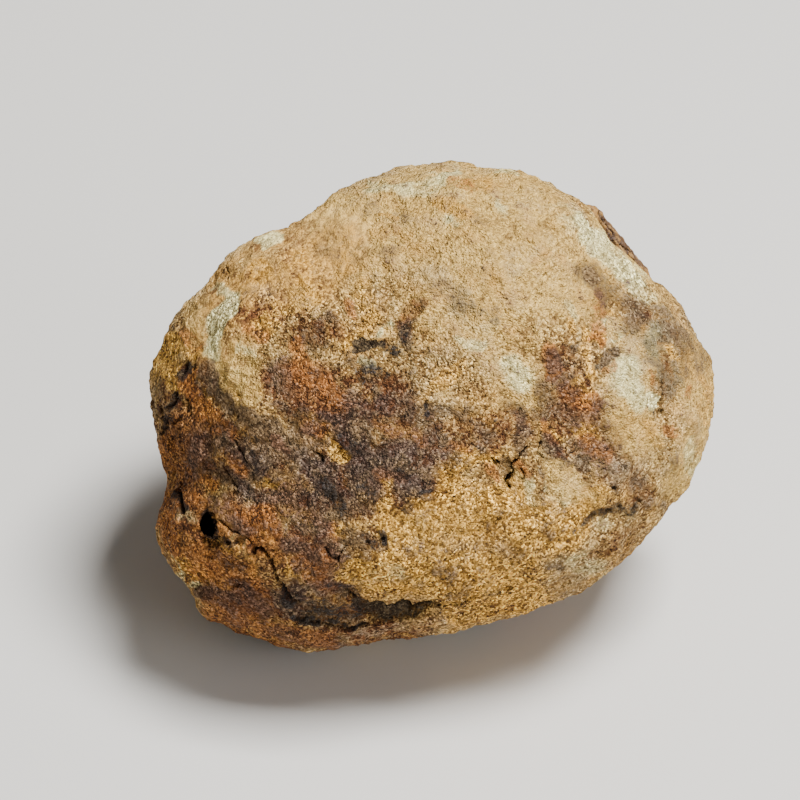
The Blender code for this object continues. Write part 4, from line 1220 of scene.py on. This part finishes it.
def even_rows(rows):
    """Places along the axis for the rows, closer together where the fossil is steep."""
    s = station(np.linspace(0.0, 1.0, 4000))
    half = half_width(s)
    shape = relief_height(s, 0.35 * half, 0.35)
    run = np.abs(np.diff(s)) + np.abs(np.diff(shape)) + 0.5 * np.abs(np.diff(half))
    run = np.concatenate(([0.0], np.cumsum(run)))
    return np.interp(np.linspace(0.0, run[-1], rows), run, s)


def blurred(grid, reach):
    """A grid of heights with each one's neighbours averaged in."""
    for axis in (0, 1):
        shifted = [np.roll(grid, k, axis) for k in range(-reach, reach + 1)]
        grid = sum(shifted) / len(shifted)
    return grid


def fossil_grid(fossil):
    """A flat grid for the fossil, each point's row and column, and its share of the half width."""
    bpy.ops.object.select_all(action="DESELECT")
    bpy.ops.mesh.primitive_grid_add(
        x_subdivisions=fossil.columns - 1, y_subdivisions=fossil.rows - 1, size=2.0, calc_uvs=False
    )
    piece = bpy.context.object
    piece.name = "trilobite_fossil"
    flat, _ = read_mesh(piece)
    row = np.rint((flat[:, 1] + 1.0) / 2 * (fossil.rows - 1)).astype(int)
    column = np.rint((flat[:, 0] + 1.0) / 2 * (fossil.columns - 1)).astype(int)
    share = np.clip(flat[:, 0], -1.0, 1.0)
    share = np.sin(math.pi / 2 * share) * 0.5 + share * 0.5
    return piece, row, column, share


def slit_depth(piece, place, plan, s):
    """How deep each point lies in one of the slits in the fossil's front, 0 to 1: it sets how far the point
    is cut back and how much painted shade it gets.
    """
    _, normals = read_mesh(piece)
    spots = in_frame(place)
    ragged = 0.03 * fractal(plan, 0.4, octaves=2, seed=77.0)
    shaded_slit = np.zeros(len(s))
    for half_wide, line in SLITS:
        away = line_distance(spots, face_place(line))[0] + ragged
        shaded_slit = np.maximum(shaded_slit, 1.0 - ease((away / half_wide - 0.6) / 0.5))
    return shaded_slit * ease((np.abs(normals @ STONE_AXES[2]) - 0.15) / 0.15) * (s > GLABELLA_END - 2.5)


def close_below(piece):
    """Draw walls from the fossil's edge down to the socket's floor, and close them there."""
    select_only(piece)
    bpy.ops.object.mode_set(mode="EDIT")
    bpy.ops.mesh.select_mode(type="EDGE")
    bpy.ops.mesh.select_all(action="DESELECT")
    bpy.ops.mesh.select_non_manifold()
    bpy.ops.mesh.extrude_region_move()
    bpy.ops.object.mode_set(mode="OBJECT")
    lower = np.zeros(len(piece.data.vertices), bool)
    piece.data.vertices.foreach_get("select", lower)
    place = to_stone(read_mesh(piece)[0])
    drop = place @ SPLIT_NORMAL - (SPLIT_DISTANCE + GAP - SOCKET_DEPTH)
    place[lower] -= np.outer(drop[lower], SPLIT_NORMAL)
    write_mesh(piece, to_row(place))
    bpy.ops.object.mode_set(mode="EDIT")
    bpy.ops.mesh.edge_face_add()
    bpy.ops.mesh.select_all(action="SELECT")
    bpy.ops.mesh.normals_make_consistent(inside=False)
    bpy.ops.object.mode_set(mode="OBJECT")


def make_fossil(fossil):
    """The fossil: a grid on the split face, raised to the trilobite's relief and closed below."""
    piece, row, column, share = fossil_grid(fossil)
    s = even_rows(fossil.rows)[row]
    across = np.abs(share)
    t = share * half_width(s)
    shape = relief_height(s, t, across)
    arch = ARCH_HEIGHT * (1.0 - (s / HEAD_END) ** 2) * (1.0 - across**2)
    fine = rib_furrows(s, across) + eye_lenses(s, t) + fossil.wart / MM * warts(s, t)
    plan = np.column_stack((s, t, shape))
    wear = ease((fractal(plan, 5.0, octaves=4, seed=71.0) - 0.1) / 0.3)
    rough = 0.10 * fractal(plan, 1.6, octaves=4, seed=73.0)
    rough += 0.05 * fractal(plan, 0.5, octaves=2, seed=75.0)
    height = EDGE_HEIGHT + arch + shape + fine * (1.0 - 0.7 * wear) + rough * ease((1.0 - across) / 0.04)
    swept = s - swept_back(s, across)
    place = on_split_face(swept, t, height)
    write_mesh(piece, to_row(place))

    shaded_slit = slit_depth(piece, place, plan, s)
    terrace = terrace_lines(s, t, arch + shape)
    write_mesh(piece, to_row(on_split_face(swept - 0.6 * shaded_slit - 0.12 * terrace, t, height)))
    grid = np.zeros((fossil.rows, fossil.columns))
    grid[row, column] = height
    proud = (grid - blurred(grid, reach=8))[row, column]
    # Painted shade in the slits, and a darkening half as strong along the terrace grooves.
    paint(piece, "shaded_slit", np.maximum(shaded_slit, 0.5 * terrace))
    paint(piece, "crest", np.clip(0.16 + 2.0 * proud, 0.0, 1.0))
    paint(piece, "furrow", np.clip(0.10 - 2.4 * proud + 0.3 * ease((across - 0.9) / 0.1), 0.0, 1.0))

    close_below(piece)
    bpy.ops.object.shade_smooth_by_angle(angle=math.radians(50.0))
    piece.data.materials.append(limonite_cast(fossil))
    return piece


# --- The stage ----------------------------------------------------------------------------------------------
SENSOR = 36.0  # width of the camera's sensor in millimetres


def softbox(name, place, size, power):
    """A square area light that faces the stone's heart."""
    bpy.ops.object.light_add(type="AREA", location=place)
    lamp = bpy.context.object
    lamp.name = name
    lamp.data.size = size
    lamp.data.energy = power
    lamp.rotation_euler = (Vector(HEART * MM) - Vector(place)).to_track_quat("-Z", "Y").to_euler()


def matt_board(tint):
    """A board with flat emulsion paint: even, pale and without shine, with a faint roller mottle."""
    material, tree, shader = new_material("matt_board", roughness=0.85)
    noises = noise_set(tree, {"roller": (60.0, 2.0)})
    base = cover(tree, tint, linear("C9C5BE"), noises["roller"], strength=0.06)
    tree.links.new(base, shader.inputs["Base Color"])
    return material


class NODULE_OT_stage(bpy.types.Operator):
    """Add the floor, the lights and the camera"""

    bl_idname = "nodule.stage"
    bl_label = "Stage"

    def execute(self, context):
        stage = context.scene.nodule_stage
        bpy.ops.object.select_all(action="DESELECT")
        bpy.ops.mesh.primitive_plane_add(size=3.0)
        floor = context.object
        floor.name = "floor"
        floor.data.materials.append(matt_board(stage.floor))

        softbox("key_softbox", place=(0.20, -0.04, 0.60), size=0.22, power=stage.key)
        softbox("front_fill", place=(0.46, -0.40, 0.26), size=0.40, power=stage.fill)
        world = bpy.data.worlds.new("even_room")
        world.use_nodes = True
        background = world.node_tree.nodes["Background"]
        background.inputs["Color"].default_value = (1.0, 1.0, 1.0, 1.0)
        background.inputs["Strength"].default_value = stage.sky
        context.scene.world = world

        station_point = np.array((*face_place(FRAME_MIDDLE), stage.distance / MM))
        bpy.ops.object.camera_add(location=to_row(station_point))
        camera = context.object
        camera.name = "camera"
        camera.rotation_euler = Matrix(STONE_AXES.T.tolist()).to_euler()
        camera.data.sensor_width = SENSOR
        camera.data.lens = SENSOR * stage.distance / (FRAME_STEPS * STEP * MM)
        context.scene.camera = camera
        return {"FINISHED"}


class NODULE_OT_stone(bpy.types.Operator):
    """Add the weathered stone in place of the plain nodule"""

    bl_idname = "nodule.stone"
    bl_label = "Stone"

    def execute(self, context):
        piece = make_stone(context.scene.nodule_stone)
        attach(piece, "root")
        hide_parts("nodule")
        return {"FINISHED"}


class NODULE_OT_fossil(bpy.types.Operator):
    """Add the detailed trilobite in place of the plain one"""

    bl_idname = "nodule.fossil"
    bl_label = "Fossil"

    def execute(self, context):
        piece = make_fossil(context.scene.nodule_fossil)
        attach(piece, "root")
        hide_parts("trilobite")
        return {"FINISHED"}


class NODULE_PT_sidebar(bpy.types.Panel):
    """Lists the pieces and their settings"""

    bl_idname = "NODULE_PT_sidebar"
    bl_label = "Trilobite nodule"
    bl_space_type = "VIEW_3D"
    bl_region_type = "UI"
    bl_category = "Nodule"

    def draw(self, context):
        scene = context.scene
        groups = (
            (NODULE_OT_stage, scene.nodule_stage),
            (NODULE_OT_stone, scene.nodule_stone),
            (NODULE_OT_fossil, scene.nodule_fossil),
        )
        for operator, settings in groups:
            box = self.layout.box()
            for name in settings.__annotations__:
                box.prop(settings, name)
            box.operator(operator.bl_idname)


SETTINGS = {"nodule_stage": StageSettings, "nodule_stone": StoneSettings, "nodule_fossil": FossilSettings}
CLASSES = (*SETTINGS.values(), NODULE_OT_stage, NODULE_OT_stone, NODULE_OT_fossil, NODULE_PT_sidebar)


def register():
    """Register the add-on's classes and its settings."""
    for cls in CLASSES:
        bpy.utils.register_class(cls)
    for name, settings in SETTINGS.items():
        setattr(bpy.types.Scene, name, PointerProperty(type=settings))


def unregister():
    """Take the settings and the classes away again."""
    for name in SETTINGS:
        delattr(bpy.types.Scene, name)
    for cls in reversed(CLASSES):
        bpy.utils.unregister_class(cls)


def main():
    """Build the stage and the two pieces."""
    register()
    bpy.ops.nodule.stage()
    bpy.ops.nodule.stone()
    bpy.ops.nodule.fossil()


if __name__ == "__main__":
    main()
